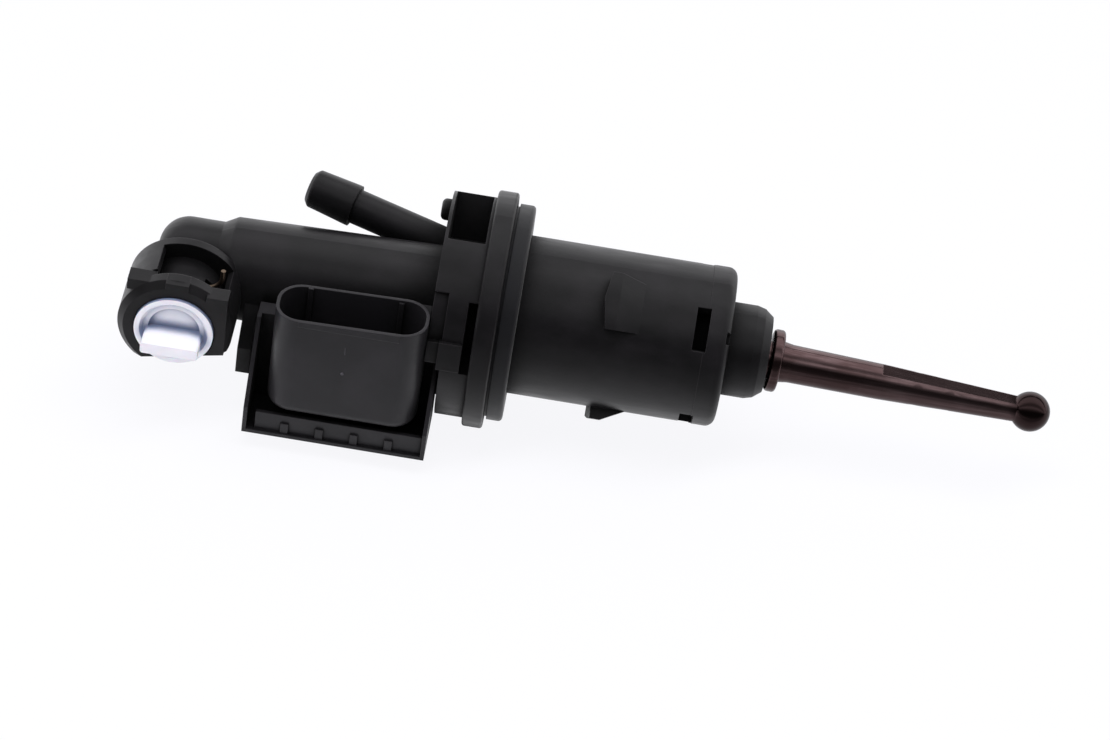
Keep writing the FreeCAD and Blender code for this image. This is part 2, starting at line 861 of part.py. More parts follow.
def chamber_and_passages(body):
    """Pressure chamber, seal bore, outlet bore and the reservoir's feed."""
    chamber = s.barrel_radius - s.chamber_wall
    chamber_front = s.barrel_front_radius - s.chamber_wall
    bore = outline(new_sketch(body, "chamber_profile", "XZ_Plane"), [
        (chamber_end, 0),
        (chamber_end, chamber_front),
        (stack_front, chamber),
        (stack_front, s.seal_radius),
        (s.spigot_length, s.seal_radius),
        (s.spigot_length, 0),
    ])
    turned(body, "chamber", bore, cut=True)
    outlet = outline(new_sketch(body, "outlet_profile", "XY_Plane", shift=outlet_axis), [
        (0, 0),
        (s.outlet_passage_radius, 0),
        (s.outlet_passage_radius, -s.outlet_bore_back),
        (s.outlet_bore_radius, -s.outlet_bore_back),
        (s.outlet_bore_radius, -s.outlet_length),
        (0, -s.outlet_length),
    ])
    turned(body, "outlet_bore", outlet, axis="V_Axis", cut=True)
    passage = new_sketch(body, "passage_outline", "YZ_Plane", lift=outlet_axis)
    circle(passage, 0, 0, s.outlet_passage_radius)
    sunk(body, "passage", passage, s.outlet_reach - s.chamber_depth)

    # The nipple's bore, then along the drum and in to the spacer's groove
    root = (drum_back, s.nipple_root_out)
    bore = round_the_axis(body, "nipple_bore_profile", s.nipple_angle)
    outline(bore, moved_along(root, s.nipple_rise, [
        (s.feed_radius, 0),
        (s.feed_radius, s.nipple_bore_radius),
        (s.nipple_length, s.nipple_bore_radius),
        (s.nipple_length, 0),
    ]))
    straight(bore, *moved_along(root, s.nipple_rise, [(0, 0), (s.nipple_length, 0)]), guide=True)
    turned(body, "nipple_bore", bore, axis="Axis0", cut=True)
    middle = (primary_back + spacer_back) / 2
    along = round_the_axis(body, "feed_profile", s.nipple_angle)
    rectangle(
        along, drum_back - s.nipple_bore_radius, middle,
        s.feed_out, s.feed_out + s.feed_radius,
    )
    ends = ((drum_back - s.nipple_bore_radius, s.feed_out), (middle, s.feed_out))
    straight(along, *ends, guide=True)
    turned(body, "feed", along, axis="Axis0", cut=True)
    inward = round_the_axis(body, "port_profile", s.nipple_angle)
    low = s.seal_radius - s.running_gap
    rectangle(inward, middle - s.feed_radius, middle, low, s.feed_out)
    straight(inward, (middle, low), (middle, s.feed_out), guide=True)
    turned(body, "port", inward, axis="Axis0", cut=True)


def cylinder_body():
    """Barrel, drum, flange, knuckle, outlet and hose nipple in one moulding."""
    body = new_body("cylinder_body")
    drum_and_barrel(body)
    outlet_and_collar(body)
    hose_nipple(body)
    rib_and_post(body)
    drum_details(body)
    collar_openings(body)
    chamber_and_passages(body)
    return body


def guide_sleeve():
    """Sleeve that guides the piston's tail, with bayonet lugs and windows."""
    body = new_body("guide_sleeve")
    base_bore = s.spigot_radius + s.running_gap
    band = s.sleeve_radius + s.sleeve_band_rise
    end_wall = s.sleeve_length - s.sleeve_end_wall
    hole = s.tail_radius + s.loose_gap
    lug_top = s.sleeve_radius + s.lug_height
    bed = s.sleeve_radius - s.sleeve_wall / 2
    nose = s.lug_start - s.lug_nose
    lug_profile = outline(round_the_axis(body, "lug_profile", s.lug_angle), [
        (nose, bed),
        (nose, lug_top),
        (s.lug_start + s.lug_land, lug_top),
        (s.lug_start + s.lug_length, s.sleeve_radius),
        (s.lug_start + s.lug_length, bed),
    ])
    lug = turned(body, "lug", lug_profile, sweep=s.lug_sweep)
    half = lug_top * sine(s.lug_sweep / 2)
    front = outline(new_sketch(body, "nose_outline", "XZ_Plane", tilt=-s.lug_angle), [
        (nose - s.overrun, -half - s.overrun),
        (s.lug_start, -half - s.overrun),
        (s.lug_start, -half),
        (nose, 0),
        (s.lug_start, half),
        (s.lug_start, half + s.overrun),
        (nose - s.overrun, half + s.overrun),
    ])
    pointed = sunk(body, "nose", front, lug_top + s.overrun)
    repeated(body, "lugs", [lug, pointed], s.lug_count)
    profile = outline(new_sketch(body, "shell_profile", "XZ_Plane"), [
        (0, base_bore),
        (0, s.sleeve_radius),
        (s.sleeve_band_start, s.sleeve_radius),
        (s.sleeve_band_start, band),
        (s.sleeve_length, band),
        (s.sleeve_length, hole),
        (end_wall, hole),
        (end_wall, sleeve_bore),
        (s.spigot_length, sleeve_bore),
        (s.spigot_length, base_bore),
    ])
    turned(body, "shell", profile)
    softened(body, "end_round", s.sleeve_end_round, ring_at("x", s.sleeve_length, band))
    window = ring_sector(
        body, "window", s.window_angle, s.window_sweep,
        s.window_middle - s.window_width / 2, s.window_middle + s.window_width / 2,
        sleeve_bore - s.overrun, band + s.overrun, cut=True,
    )
    repeated(body, "windows", [window], s.window_count)
    ring_sector(
        body, "rim_notch", s.rim_notch_angle, s.rim_notch_sweep,
        s.sleeve_length - s.rim_notch_depth, s.sleeve_length + s.overrun,
        sleeve_bore, band + s.overrun, cut=True,
    )
    return body


def flange_gasket():
    """Soft ring that seals the flange to the bulkhead."""
    body = new_body("flange_gasket")
    front = s.gasket_gap + s.gasket_thickness
    inner = s.sleeve_radius + s.seat_gap
    profile = outline(new_sketch(body, "ring_profile", "XZ_Plane"), [
        (0, inner),
        (0, s.gasket_foot_radius),
        (s.gasket_gap, s.gasket_foot_radius),
        (s.gasket_gap, s.gasket_radius),
        (front, s.gasket_radius),
        (front, inner),
    ])
    turned(body, "ring", profile)
    softened(body, "rim", s.gasket_round, ring_at("x", front, s.gasket_radius))
    return body


def stop_ring():
    """Ring that guides the tail and stops its flange, thinner under the windows."""
    body = new_body("stop_ring")
    outer = sleeve_bore - s.running_gap
    inner = s.tail_radius + s.running_gap
    step = s.window_middle + s.window_width / 2 + s.loose_gap
    back = stop_ring_front + s.stop_ring_width
    profile = outline(new_sketch(body, "ring_profile", "XZ_Plane"), [
        (stop_ring_front, inner),
        (stop_ring_front, inner + s.stop_ring_wall),
        (step, inner + s.stop_ring_wall),
        (step, outer),
        (back, outer),
        (back, inner),
    ])
    turned(body, "ring", profile)
    return body


def seal_cup(name, front, width):
    """Ring seal with a groove between two lips on its pressure side."""
    body = new_body(name)
    inner = s.piston_radius + s.running_gap
    outer = s.seal_radius - s.running_gap
    middle = (inner + outer) / 2
    back = front + width
    profile = outline(new_sketch(body, "lip_profile", "XZ_Plane"), [
        (front, inner),
        (front, inner + s.seal_lip),
        (front + s.seal_groove_depth, middle),
        (front, outer - s.seal_lip),
        (front, outer),
        (back, outer),
        (back, inner),
    ])
    turned(body, "cup", profile)
    return body


def seal_spacer():
    """Ring between the seals that lets the reservoir's fluid in."""
    body = new_body("seal_spacer")
    inner = s.piston_radius + s.loose_gap
    outer = s.seal_radius - s.running_gap
    floor = outer - s.spacer_groove_depth
    middle = (primary_back + spacer_back) / 2
    half = s.spacer_width / 4
    profile = outline(new_sketch(body, "ring_profile", "XZ_Plane"), [
        (primary_back, inner),
        (primary_back, outer),
        (middle - half, outer),
        (middle - half, floor),
        (middle + half, floor),
        (middle + half, outer),
        (spacer_back, outer),
        (spacer_back, inner),
    ])
    turned(body, "ring", profile)
    hole = circle(new_sketch(body, "port_outline", "XY_Plane"), middle, 0, s.spacer_port_radius)
    port = sunk(body, "port", hole, s.seal_radius)
    repeated(body, "ports", [port], s.spacer_ports)
    return body


def guide_bush():
    """Bush that guides the piston and keeps the seals in their bore."""
    body = new_body("guide_bush")
    profile = rectangle(
        new_sketch(body, "bush_profile", "XZ_Plane"), secondary_back, bush_end,
        s.piston_radius + s.running_gap, s.seal_radius - s.running_gap,
    )
    turned(body, "bush", profile)
    softened(
        body, "lead_in", s.loose_gap,
        ring_at("x", bush_end, s.piston_radius + s.running_gap), kind="Chamfer",
    )
    return body


def piston():
    """Plunger, hollow in front for the spring and behind for the ball cup."""
    body = new_body("piston")
    spring_floor = piston_nose + s.spring_bore_depth
    magnet_floor = piston_nose + s.magnet_depth
    magnet_bore = s.magnet_radius + s.running_gap
    cup_bore = s.cup_radius + s.running_gap
    profile = outline(new_sketch(body, "plunger_profile", "XZ_Plane"), [
        (piston_nose, magnet_bore),
        (piston_nose, s.piston_radius),
        (piston_back, s.piston_radius),
        (piston_back, cup_bore),
        (pivot - s.cup_front - s.seat_gap, cup_bore),
        (pivot - s.cup_front - s.seat_gap, 0),
        (spring_floor, 0),
        (spring_floor, s.spring_bore_radius),
        (magnet_floor, s.spring_bore_radius),
        (magnet_floor, magnet_bore),
    ])
    turned(body, "plunger", profile)
    cut_low = s.piston_radius - s.nose_slot_depth
    slot = rectangle(
        new_sketch(body, "slot_outline", "XY_Plane", lift=cut_low),
        piston_nose - s.overrun, piston_nose + s.nose_slot_length,
        -s.nose_slot_width / 2, s.nose_slot_width / 2,
    )
    groove = sunk(body, "slot", slot, s.piston_radius)
    repeated(body, "slots", [groove], s.nose_slots)
    return body


def piston_magnet():
    """Ring magnet in the piston's nose that the sensor reads."""
    body = new_body("piston_magnet")
    profile = rectangle(
        new_sketch(body, "ring_profile", "XZ_Plane"),
        piston_nose, piston_nose + s.magnet_depth - s.running_gap,
        s.spring_bore_radius, s.magnet_radius,
    )
    turned(body, "ring", profile)
    return body


def piston_tail():
    """Tail that holds the ball cup in the piston and slides in the stop ring."""
    body = new_body("piston_tail")
    front = pivot + s.cup_rear + s.seat_gap
    profile = outline(new_sketch(body, "tail_profile", "XZ_Plane"), [
        (front, s.tail_mouth_radius),
        (front, s.cup_radius),
        (piston_back, s.cup_radius),
        (piston_back, s.tail_flange_radius),
        (tail_flange_back, s.tail_flange_radius),
        (tail_flange_back, s.tail_radius),
        (tail_end - s.tail_taper_length, s.tail_radius),
        (tail_end - s.tail_taper_length / 2, (3 * s.tail_radius + s.tail_end_radius) / 4),
        (tail_end, s.tail_end_radius),
        (tail_end, s.tail_mouth_radius),
    ])
    turned(body, "tail", profile)
    return body


def ball(body, name, kind, place_along, radius):
    """Adds or cuts a ball centred on the cylinder axis or the rod's axis."""
    made = body.newObject(f"PartDesign::{kind}", f"{body.Name}_{name}")
    made.Radius = as_size(radius).number
    bind(made, "Radius", radius)
    made.Placement.Base = FreeCAD.Vector(as_size(place_along).number, 0, 0)
    if "sizes." in as_size(place_along).text:
        made.setExpression("Placement.Base.x", as_size(place_along).text)
    doc.recompute()
    return made


def ball_cup():
    """Split cup that snaps round the rod's inner ball and turns in the piston."""
    body = new_body("ball_cup")
    profile = rectangle(
        new_sketch(body, "cup_profile", "XZ_Plane"),
        pivot - s.cup_front, pivot + s.cup_rear, 0, s.cup_radius,
    )
    turned(body, "cup", profile)
    ball(body, "seat", "SubtractiveSphere", pivot, s.inner_ball_radius + s.running_gap)
    split = rectangle(
        new_sketch(body, "split_outline", "XZ_Plane"),
        pivot - s.cup_rear, pivot + s.cup_rear + s.overrun, 0, s.cup_radius + s.overrun,
    )
    sunk(body, "split", split, s.cup_split_width, middle=True)
    return body


def push_rod():
    """Rod with a ball at each end, hanging a little from its pivot."""
    body = new_body("push_rod")
    collar_start = tail_end - pivot + s.collar_gap
    collar_end = collar_start + s.rod_collar_width
    profile = outline(new_sketch(body, "rod_profile", "XZ_Plane"), [
        (0, 0),
        (0, s.rod_neck_radius),
        (s.rod_neck_end, s.rod_neck_radius),
        (s.rod_shank_start, s.rod_shank_radius),
        (collar_start, s.rod_shank_radius),
        (collar_start, s.rod_collar_radius),
        (collar_end, s.rod_collar_radius),
        (collar_end, s.rod_flare_radius),
        (collar_end + s.rod_flare_length, s.rod_mid_radius),
        (s.rod_taper_start, s.rod_taper_radius),
        (s.rod_length, s.rod_tip_radius),
        (s.rod_length, 0),
    ])
    turned(body, "shaft", profile)
    softened(body, "collar_front", s.rod_collar_round, ring_at("x", collar_start, s.rod_collar_radius))
    softened(body, "collar_back", s.rod_collar_round, ring_at("x", collar_end, s.rod_collar_radius))
    flat_end = s.rod_length - s.outer_ball_radius / 2
    high = s.rod_mid_radius + s.overrun
    flats = outline(new_sketch(body, "flat_outline", "XZ_Plane"), [
        (s.rod_taper_start, s.rod_flat_start),
        (flat_end, s.rod_flat_end),
        (flat_end, high),
        (s.rod_taper_start, high),
    ])
    upper = sunk(body, "upper_flat", flats, 2 * high, middle=True)
    reflected(body, "flats", [upper], "XY_Plane")
    ball(body, "inner_ball", "AdditiveSphere", 0, s.inner_ball_radius)
    ball(body, "outer_ball", "AdditiveSphere", s.rod_length, s.outer_ball_radius)
    turn = FreeCAD.Rotation(AXIS["y"], s.rod_droop.number)
    body.Placement = FreeCAD.Placement(FreeCAD.Vector(pivot.number, 0, 0), turn)
    body.setExpression("Placement.Base.x", pivot.text)
    body.setExpression("Placement.Rotation.Angle", s.rod_droop.text)
    return body


def return_spring():
    """Coil spring between the chamber's end and the piston."""
    body = new_body("return_spring")
    start = chamber_end + s.spring_wire_radius + s.seat_gap
    end = piston_nose + s.spring_bore_depth - s.spring_wire_radius - s.seat_gap
    wire = circle(
        new_sketch(body, "wire_outline", "XZ_Plane"),
        start, s.spring_coil_radius, s.spring_wire_radius,
    )
    made = body.newObject("PartDesign::AdditiveHelix", "return_spring_coil")
    made.Profile = wire
    made.ReferenceAxis = (wire, ["H_Axis"])
    made.Mode = 0
    bind(made, "Height", end - start)
    bind(made, "Pitch", (end - start) / s.spring_turns)
    doc.recompute()
    return body


def outlet_cap():
    """Cap ring that closes the collar round the outlet."""
    body = new_body("outlet_cap")
    disc = circle(
        new_sketch(body, "disc_outline", "XZ_Plane", lift=cap_back, shift=outlet_axis),
        0, 0, s.collar_radius,
    )
    raised(body, "disc", disc, cap_front - cap_back)
    softened(body, "front_edge", s.cap_front_round, ring_at("y", -cap_front, s.collar_radius), kind="Chamfer")
    skirt = new_sketch(
        body, "skirt_outline", "XZ_Plane", lift=cap_back - s.cap_skirt, shift=outlet_axis,
    )
    circle(skirt, 0, 0, s.collar_radius - s.collar_wall - s.seat_gap)
    circle(skirt, 0, 0, s.outlet_tube_radius + s.seat_gap)
    raised(body, "skirt", skirt, s.cap_skirt + s.collar_wall)
    side = rectangle(
        new_sketch(body, "side_outline", "XZ_Plane", lift=cap_back, shift=outlet_axis),
        s.cap_side_inner, s.cap_side_reach, -s.cap_foot_drop - s.cap_side_reach, s.cap_side_top,
    )
    raised(body, "side", side, cap_front - cap_back)
    pad = rectangle(
        new_sketch(body, "pad_outline", "XZ_Plane", lift=cap_back, shift=outlet_axis),
        -s.cap_pad_half, s.cap_pad_half, s.cap_pad_low, s.cap_pad_top,
    )
    raised(body, "pad", pad, cap_front - cap_back)
    lobe = rectangle(
        new_sketch(body, "lobe_outline", "XZ_Plane", lift=lobe_back, shift=outlet_axis),
        -s.cap_lobe_outer, -s.cap_lobe_inner, s.cap_lobe_low, s.cap_lobe_top,
    )
    raised(body, "lobe", lobe, cap_front - lobe_back - s.cap_front_round)
    deep = 2 * s.collar_radius
    slope = (s.cap_toe_drop - s.cap_foot_drop) / (s.cap_toe_reach + s.cap_side_reach)
    underside = outline(
        new_sketch(body, "underside_outline", "XZ_Plane", lift=cap_back - s.cap_skirt, shift=outlet_axis),
        [
            (-deep, -deep),
            (deep, -deep),
            (deep, -s.cap_foot_drop + slope * (deep - s.cap_side_reach)),
            (-deep, -s.cap_toe_drop - slope * (deep - s.cap_toe_reach)),
        ],
    )
    sunk(body, "underside", underside, cap_front - cap_back + s.cap_skirt)
    opening = circle(
        new_sketch(body, "opening_outline", "XZ_Plane", lift=cap_back, shift=outlet_axis),
        0, 0, s.cap_opening,
    )
    sunk(body, "opening", opening, cap_front - cap_back)
    return body


def outlet_clip():
    """Bent wire clip that holds a pipe, or here the plug, in the outlet."""
    body = new_body("outlet_clip")
    path = bent_path(
        new_sketch(body, "wire_path", "XZ_Plane", lift=s.clip_plane, shift=outlet_axis),
        [
            (s.clip_end_reach, s.clip_end_height),
            (s.clip_end_reach, s.clip_half_width),
            (-s.clip_bow_reach, s.clip_half_width),
            (-s.clip_bow_reach, -s.clip_half_width),
            (s.clip_end_reach, -s.clip_half_width),
            (s.clip_end_reach, -s.clip_end_height),
        ],
        [s.clip_end_bend, s.clip_bow_bend, s.clip_bow_bend, s.clip_end_bend],
    )
    section = new_sketch(body, "wire_section", "XY_Plane", lift=s.clip_end_height, shift=outlet_axis)
    circle(section, s.clip_end_reach, -s.clip_plane, s.clip_wire_radius)
    swept(body, "wire", section, path)
    return body


def blanking_plug():
    """Plug with a dished flange and a pull tab, in the outlet for transport."""
    body = new_body("blanking_plug")
    face = s.plug_flange_face
    flange_front = face - s.plug_flange_thickness
    groove = s.clip_half_width - s.clip_wire_radius - s.running_gap
    half_wire = s.clip_wire_radius + s.seat_gap
    ring_floor = s.outlet_bore_radius - 2 * s.plug_ring_wire
    ring_half = s.plug_ring_wire + s.seat_gap
    dish = s.plug_flange_radius - s.plug_rim_width
    profile = outline(new_sketch(body, "plug_profile", "XY_Plane", shift=outlet_axis), [
        (0, -s.plug_shank_end),
        (s.plug_shank_radius, -s.plug_shank_end),
        (s.plug_shank_radius, -s.plug_ring_plane + ring_half),
        (ring_floor, -s.plug_ring_plane + ring_half),
        (ring_floor, -s.plug_ring_plane - ring_half),
        (s.plug_shank_radius, -s.plug_ring_plane - ring_half),
        (s.plug_shank_radius, -s.clip_plane + half_wire),
        (groove, -s.clip_plane + half_wire),
        (groove, -s.clip_plane - half_wire),
        (s.plug_shank_radius, -s.clip_plane - half_wire),
        (s.plug_shank_radius, -s.outlet_length - s.seat_gap),
        (dish, -s.outlet_length - s.seat_gap),
        (dish, -flange_front),
        (s.plug_flange_radius, -flange_front),
        (s.plug_flange_radius, -face),
        (dish, -face),
        (dish - s.plug_dish_depth, -face + s.plug_dish_depth),
        (s.plug_step_radius, -face + s.plug_dish_depth),
        (s.plug_step_radius, -face + 2 * s.plug_dish_depth),
        (0, -face + 2 * s.plug_dish_depth),
    ])
    turned(body, "plug", profile, axis="V_Axis")
    half = s.plug_tab_width / 2
    tab = rounded_rectangle(
        new_sketch(body, "tab_outline", "XZ_Plane", lift=flange_front, shift=outlet_axis),
        -half, half, -s.plug_tab_drop - s.plug_tab_thickness, -s.plug_tab_drop, s.plug_tab_round,
    )
    raised(body, "tab", tab, s.plug_flange_thickness + s.plug_tab_length)
    return body


def outlet_ring():
    """O-ring in the plug's groove."""
    ring = doc.addObject("Part::Torus", "outlet_ring")
    ring.Label = "outlet_ring"
    bind(ring, "Radius1", s.outlet_bore_radius - s.plug_ring_wire - s.running_gap)
    bind(ring, "Radius2", s.plug_ring_wire - s.running_gap)
    turn = FreeCAD.Rotation(AXIS["x"], 90)
    ring.Placement = FreeCAD.Placement(FreeCAD.Vector(), turn)
    ring.setExpression("Placement.Base.x", outlet_axis.text)
    ring.setExpression("Placement.Base.y", (-s.plug_ring_plane).text)
    return ring


def sensor_housing():
    """Tray with a back plate, side walls and the oblong plug socket."""
    body = new_body("sensor_housing")
    outer = rounded_rectangle(
        new_sketch(body, "socket_outline", "XY_Plane", lift=-s.socket_bottom),
        socket_left, socket_right, -s.tray_front, socket_back, s.socket_round,
    )
    raised(body, "socket", outer, s.socket_bottom + s.socket_mouth)
    softened(body, "socket_floor_edge", s.socket_bottom_round, lambda edge: (
        edge.BoundBox.ZMax < TOUCH - s.socket_bottom.number
    ))
    corner = rectangle(
        new_sketch(body, "corner_outline", "XY_Plane", lift=-s.corner_low),
        socket_right - s.corner_size, socket_right, socket_back - s.corner_size, socket_back,
    )
    raised(body, "corner", corner, s.corner_low + s.socket_mouth - s.corner_drop)
    plate = rectangle(
        new_sketch(body, "plate_outline", "XZ_Plane", lift=s.tray_plate_back),
        tray_left, tray_right, -s.tray_floor_drop, s.tray_top,
    )
    raised(body, "plate", plate, s.tray_plate_front - s.tray_plate_back)
    rim = new_sketch(body, "rim_outline", "XZ_Plane", lift=s.tray_rim_back)
    rectangle(rim, tray_left, tray_right, -s.tray_floor_drop, s.tray_top)
    rectangle(
        rim, tray_left + s.tray_wall, tray_right - s.tray_wall,
        -s.tray_floor_drop + s.tray_wall, s.tray_top - s.tray_wall,
    )
    raised(body, "rim", rim, s.tray_plate_back - s.tray_rim_back)
    floor = rectangle(
        new_sketch(body, "floor_outline", "XZ_Plane", lift=s.tray_plate_back),
        tray_left, tray_right, -s.tray_floor_drop, -s.tray_floor_drop + s.tray_wall,
    )
    raised(body, "floor", floor, s.tray_front - s.tray_plate_back)
    for side, place_along in (("left", tray_left), ("right", tray_right - s.tray_wall)):
        wall = outline(new_sketch(body, f"{side}_outline", "YZ_Plane", lift=place_along), [
            (-s.tray_plate_back, -s.tray_floor_drop),
            (-s.tray_front, -s.tray_floor_drop),
            (-s.tray_front, -s.tray_side_knee),
            (-s.tray_side_back, s.tray_top),
            (-s.tray_plate_back, s.tray_top),
        ])
        raised(body, f"{side}_wall", wall, s.tray_wall)
    sill_front = s.tray_front - s.sill_inset
    bed = -s.tray_floor_drop + s.tray_wall / 2
    sill = rectangle(
        new_sketch(body, "sill_outline", "XZ_Plane", lift=sill_front - s.tray_wall),
        tray_left + s.sill_start, tray_right - s.tray_wall / 2, bed, s.sill_height - s.tray_floor_drop,
    )
    raised(body, "sill", sill, s.tray_wall)
    ribs = new_sketch(body, "ribs_outline", "XZ_Plane", lift=sill_front - s.tray_wall / 2)
    for number in range(round(s.sill_ribs.number)):
        start = tray_left + s.sill_rib_start + number * s.sill_rib_pitch
        rectangle(ribs, start, start + s.sill_rib_width, bed, bed + s.sill_rib_height)
    raised(body, "ribs", ribs, s.tray_wall / 2 + s.sill_rib_depth)
    band = rectangle(
        new_sketch(body, "mouth_band_outline", "XY_Plane", lift=s.socket_mouth - s.mouth_band_width),
        socket_left + s.socket_round, socket_right - s.socket_round,
        -s.tray_front - s.mouth_band_rise, -s.tray_front + s.socket_wall / 2,
    )
    raised(body, "mouth_band", band, s.mouth_band_width)
    floor_top = -s.socket_bottom + s.socket_floor
    inner = rounded_rectangle(
        new_sketch(body, "cavity_outline", "XY_Plane", lift=floor_top),
        socket_left + s.socket_wall, socket_right - s.socket_wall,
        -s.tray_front + s.socket_wall, socket_back - s.socket_wall,
        s.socket_round - s.socket_wall,
    )
    sunk(body, "cavity", inner, s.socket_mouth - floor_top)
    keys = new_sketch(body, "keys_outline", "XY_Plane", lift=floor_top)
    inner_back = socket_back - s.socket_wall
    for left in (socket_left + s.key_inset, socket_right - s.key_inset - s.key_width):
        rectangle(keys, left, left + s.key_width, inner_back - s.key_depth, inner_back + s.socket_wall / 2)
    raised(body, "keys", keys, s.socket_mouth - floor_top - s.socket_wall)
    upright = new_sketch(body, "pin_holes_outline", "XY_Plane", lift=pin_root - s.pin_thickness / 2)
    level = new_sketch(body, "pin_tunnels_outline", "XZ_Plane", lift=s.tray_plate_back)
    for left in pin_lefts():
        rectangle(
            upright, left, left + s.pin_width,
            socket_middle - s.pin_thickness / 2, socket_middle + s.pin_thickness / 2,
        )
        rectangle(
            level, left, left + s.pin_width,
            pin_root - s.pin_thickness / 2, pin_root + s.pin_thickness / 2,
        )
    sunk(body, "pin_holes", upright, s.socket_floor / 2 + s.pin_thickness / 2)
    sunk(body, "pin_tunnels", level, -socket_middle - s.tray_plate_back + s.pin_thickness / 2)
    mouth = outline(
        new_sketch(body, "mouth_outline", "XZ_Plane", lift=-socket_back - s.overrun),
        [
            (socket_left - s.overrun, s.socket_mouth - s.mouth_fall),
            (socket_right, s.socket_mouth),
            (socket_right, s.socket_mouth + s.overrun),
            (socket_left - s.overrun, s.socket_mouth + s.overrun),
        ],
    )
    sunk(body, "mouth", mouth, s.socket_depth + 2 * s.overrun)
    return body


def pin_lefts():
    """Left side of each terminal pin, spaced about the socket's middle."""
    count = round(s.pin_count.number)
    middle = (socket_left + socket_right) / 2
    first = middle - s.pin_width / 2 - s.pin_pitch * (count - 1) / 2
    return [first + s.pin_pitch * number for number in range(count)]


def box(name, low, high):
    """A plain block between two corners."""
    made = doc.addObject("Part::Box", name)
    for prop, bottom, top in zip(("Length", "Width", "Height"), low, high):
        bind(made, prop, top - bottom)
    for axis, bottom in zip("xyz", low):
        made.setExpression(f"Placement.Base.{axis}", as_size(bottom).text)
    return made


def grouped(name, things):
    """Several like solids that share one node."""
    group = doc.addObject("Part::Compound", name)
    group.Label = name
    group.Links = things
    return group


def sensor_pins():
    """Terminal pins, each a blade in the socket and a leg to the board."""
    half = s.pin_thickness / 2
    pins = []
    for number, left in enumerate(pin_lefts()):
        right = left + s.pin_width
        blade = box(
            f"pin_blade_{number}",
            (left, socket_middle - half, pin_root - half),
            (right, socket_middle + half, -s.pin_top),
        )
        leg = box(
            f"pin_leg_{number}",
            (left, socket_middle + half, pin_root - half),
            (right, -s.tray_plate_back + s.board_thickness, pin_root + half),
        )
        pin = doc.addObject("Part::MultiFuse", f"pin_{number}")
        pin.Shapes = [blade, leg]
        pin.Refine = True
        pins.append(pin)
    return grouped("sensor_pins", pins)


def sensor_board():
    """Circuit board behind the back plate, with a hole for each pin."""
    body = new_body("sensor_board")
    back = s.tray_plate_back - s.board_thickness
    sketch = new_sketch(body, "board_outline", "XZ_Plane", lift=back)
    edge = s.tray_wall + s.loose_gap
    rectangle(sketch, tray_left + edge, tray_right - edge, -s.tray_floor_drop + edge, s.tray_top - edge)
    for left in pin_lefts():
        rectangle(
            sketch, left, left + s.pin_width,
            pin_root - s.pin_thickness / 2, pin_root + s.pin_thickness / 2,
        )
    raised(body, "board", sketch, s.board_thickness)
    return body


def sensor_chips():
    """Field sensors along the board, over the magnet's travel."""
    board_back = -s.tray_plate_back + s.board_thickness
    count = round(s.chip_count.number)
    middle = (tray_left + tray_right) / 2
    chips = []
    for number in range(count):
        left = middle - s.chip_length / 2 + s.chip_pitch * (number - (count - 1) / 2)
        chips.append(box(
            f"chip_{number}",
            (left, board_back, -s.chip_drop),
            (left + s.chip_length, board_back + s.chip_thickness, s.chip_height - s.chip_drop),
        ))
    return grouped("sensor_chips", chips)


def sensor_cover():
    """Cover behind the board, with two saddles that sit on the barrel."""
    body = new_body("sensor_cover")
    edge = s.tray_wall + s.running_gap
    plate = rectangle(
        new_sketch(body, "cover_outline", "XZ_Plane", lift=s.tray_rim_back),
        tray_left + edge, tray_right - edge, -s.tray_floor_drop + edge, s.tray_top - edge,
    )
    raised(body, "cover", plate, s.cover_thickness)
    slope = (s.barrel_radius - s.barrel_front_radius) / (s.barrel_length + drum_back)
    top = s.tray_top - s.tray_wall - s.seat_gap
    near = tray_right - s.saddle_inset
    for side, place_along in (("near", near), ("far", near - s.saddle_spacing)):
        block = rectangle(
            new_sketch(body, f"{side}_saddle_outline", "YZ_Plane", lift=place_along),
            -s.tray_rim_back - s.cover_thickness / 2, -s.tray_rim_back + s.saddle_reach,
            -s.saddle_drop, top,
        )
        seat = s.barrel_radius - slope * (drum_back - place_along - s.saddle_width) + s.running_gap
        raised(body, f"{side}_saddle", block, s.saddle_width)
        hollow = circle(
            new_sketch(body, f"{side}_hollow_outline", "YZ_Plane", lift=place_along), 0, 0, seat,
        )
        sunk(body, f"{side}_hollow", hollow, s.saddle_width)
    return body


sub_parts = [
    cylinder_body(),
    guide_sleeve(),
    flange_gasket(),
    stop_ring(),
    seal_cup("primary_seal", stack_front, s.primary_seal_width),
    seal_spacer(),
    seal_cup("secondary_seal", spacer_back, s.secondary_seal_width),
    guide_bush(),
    piston(),
    piston_magnet(),
    piston_tail(),
    ball_cup(),
    push_rod(),
    return_spring(),
    outlet_cap(),
    outlet_clip(),
    blanking_plug(),
    outlet_ring(),
    sensor_housing(),
    sensor_pins(),
    sensor_board(),
    sensor_chips(),
    sensor_cover(),
]
doc.recompute()

# Nothing is written unless every object and every solid is sound
for thing in doc.Objects:
    if "Invalid" in thing.State or "Error" in thing.State:
        raise RuntimeError(f"{thing.Name} is {thing.State}")
for thing in sub_parts:
    if thing.Shape.isNull() or not thing.Shape.isValid():
        raise RuntimeError(f"{thing.Label} has no sound shape")
for thing in sub_parts:
    thing.Shape.exportStep(f"parts/{thing.Label}.step")
    box_of = thing.Shape.BoundBox
    print(
        f"{thing.Label:16s} {len(thing.Shape.Solids)} solid, {thing.Shape.Volume:9.1f} mm3,"
        f" x {box_of.XMin:7.2f} to {box_of.XMax:7.2f}"
    )
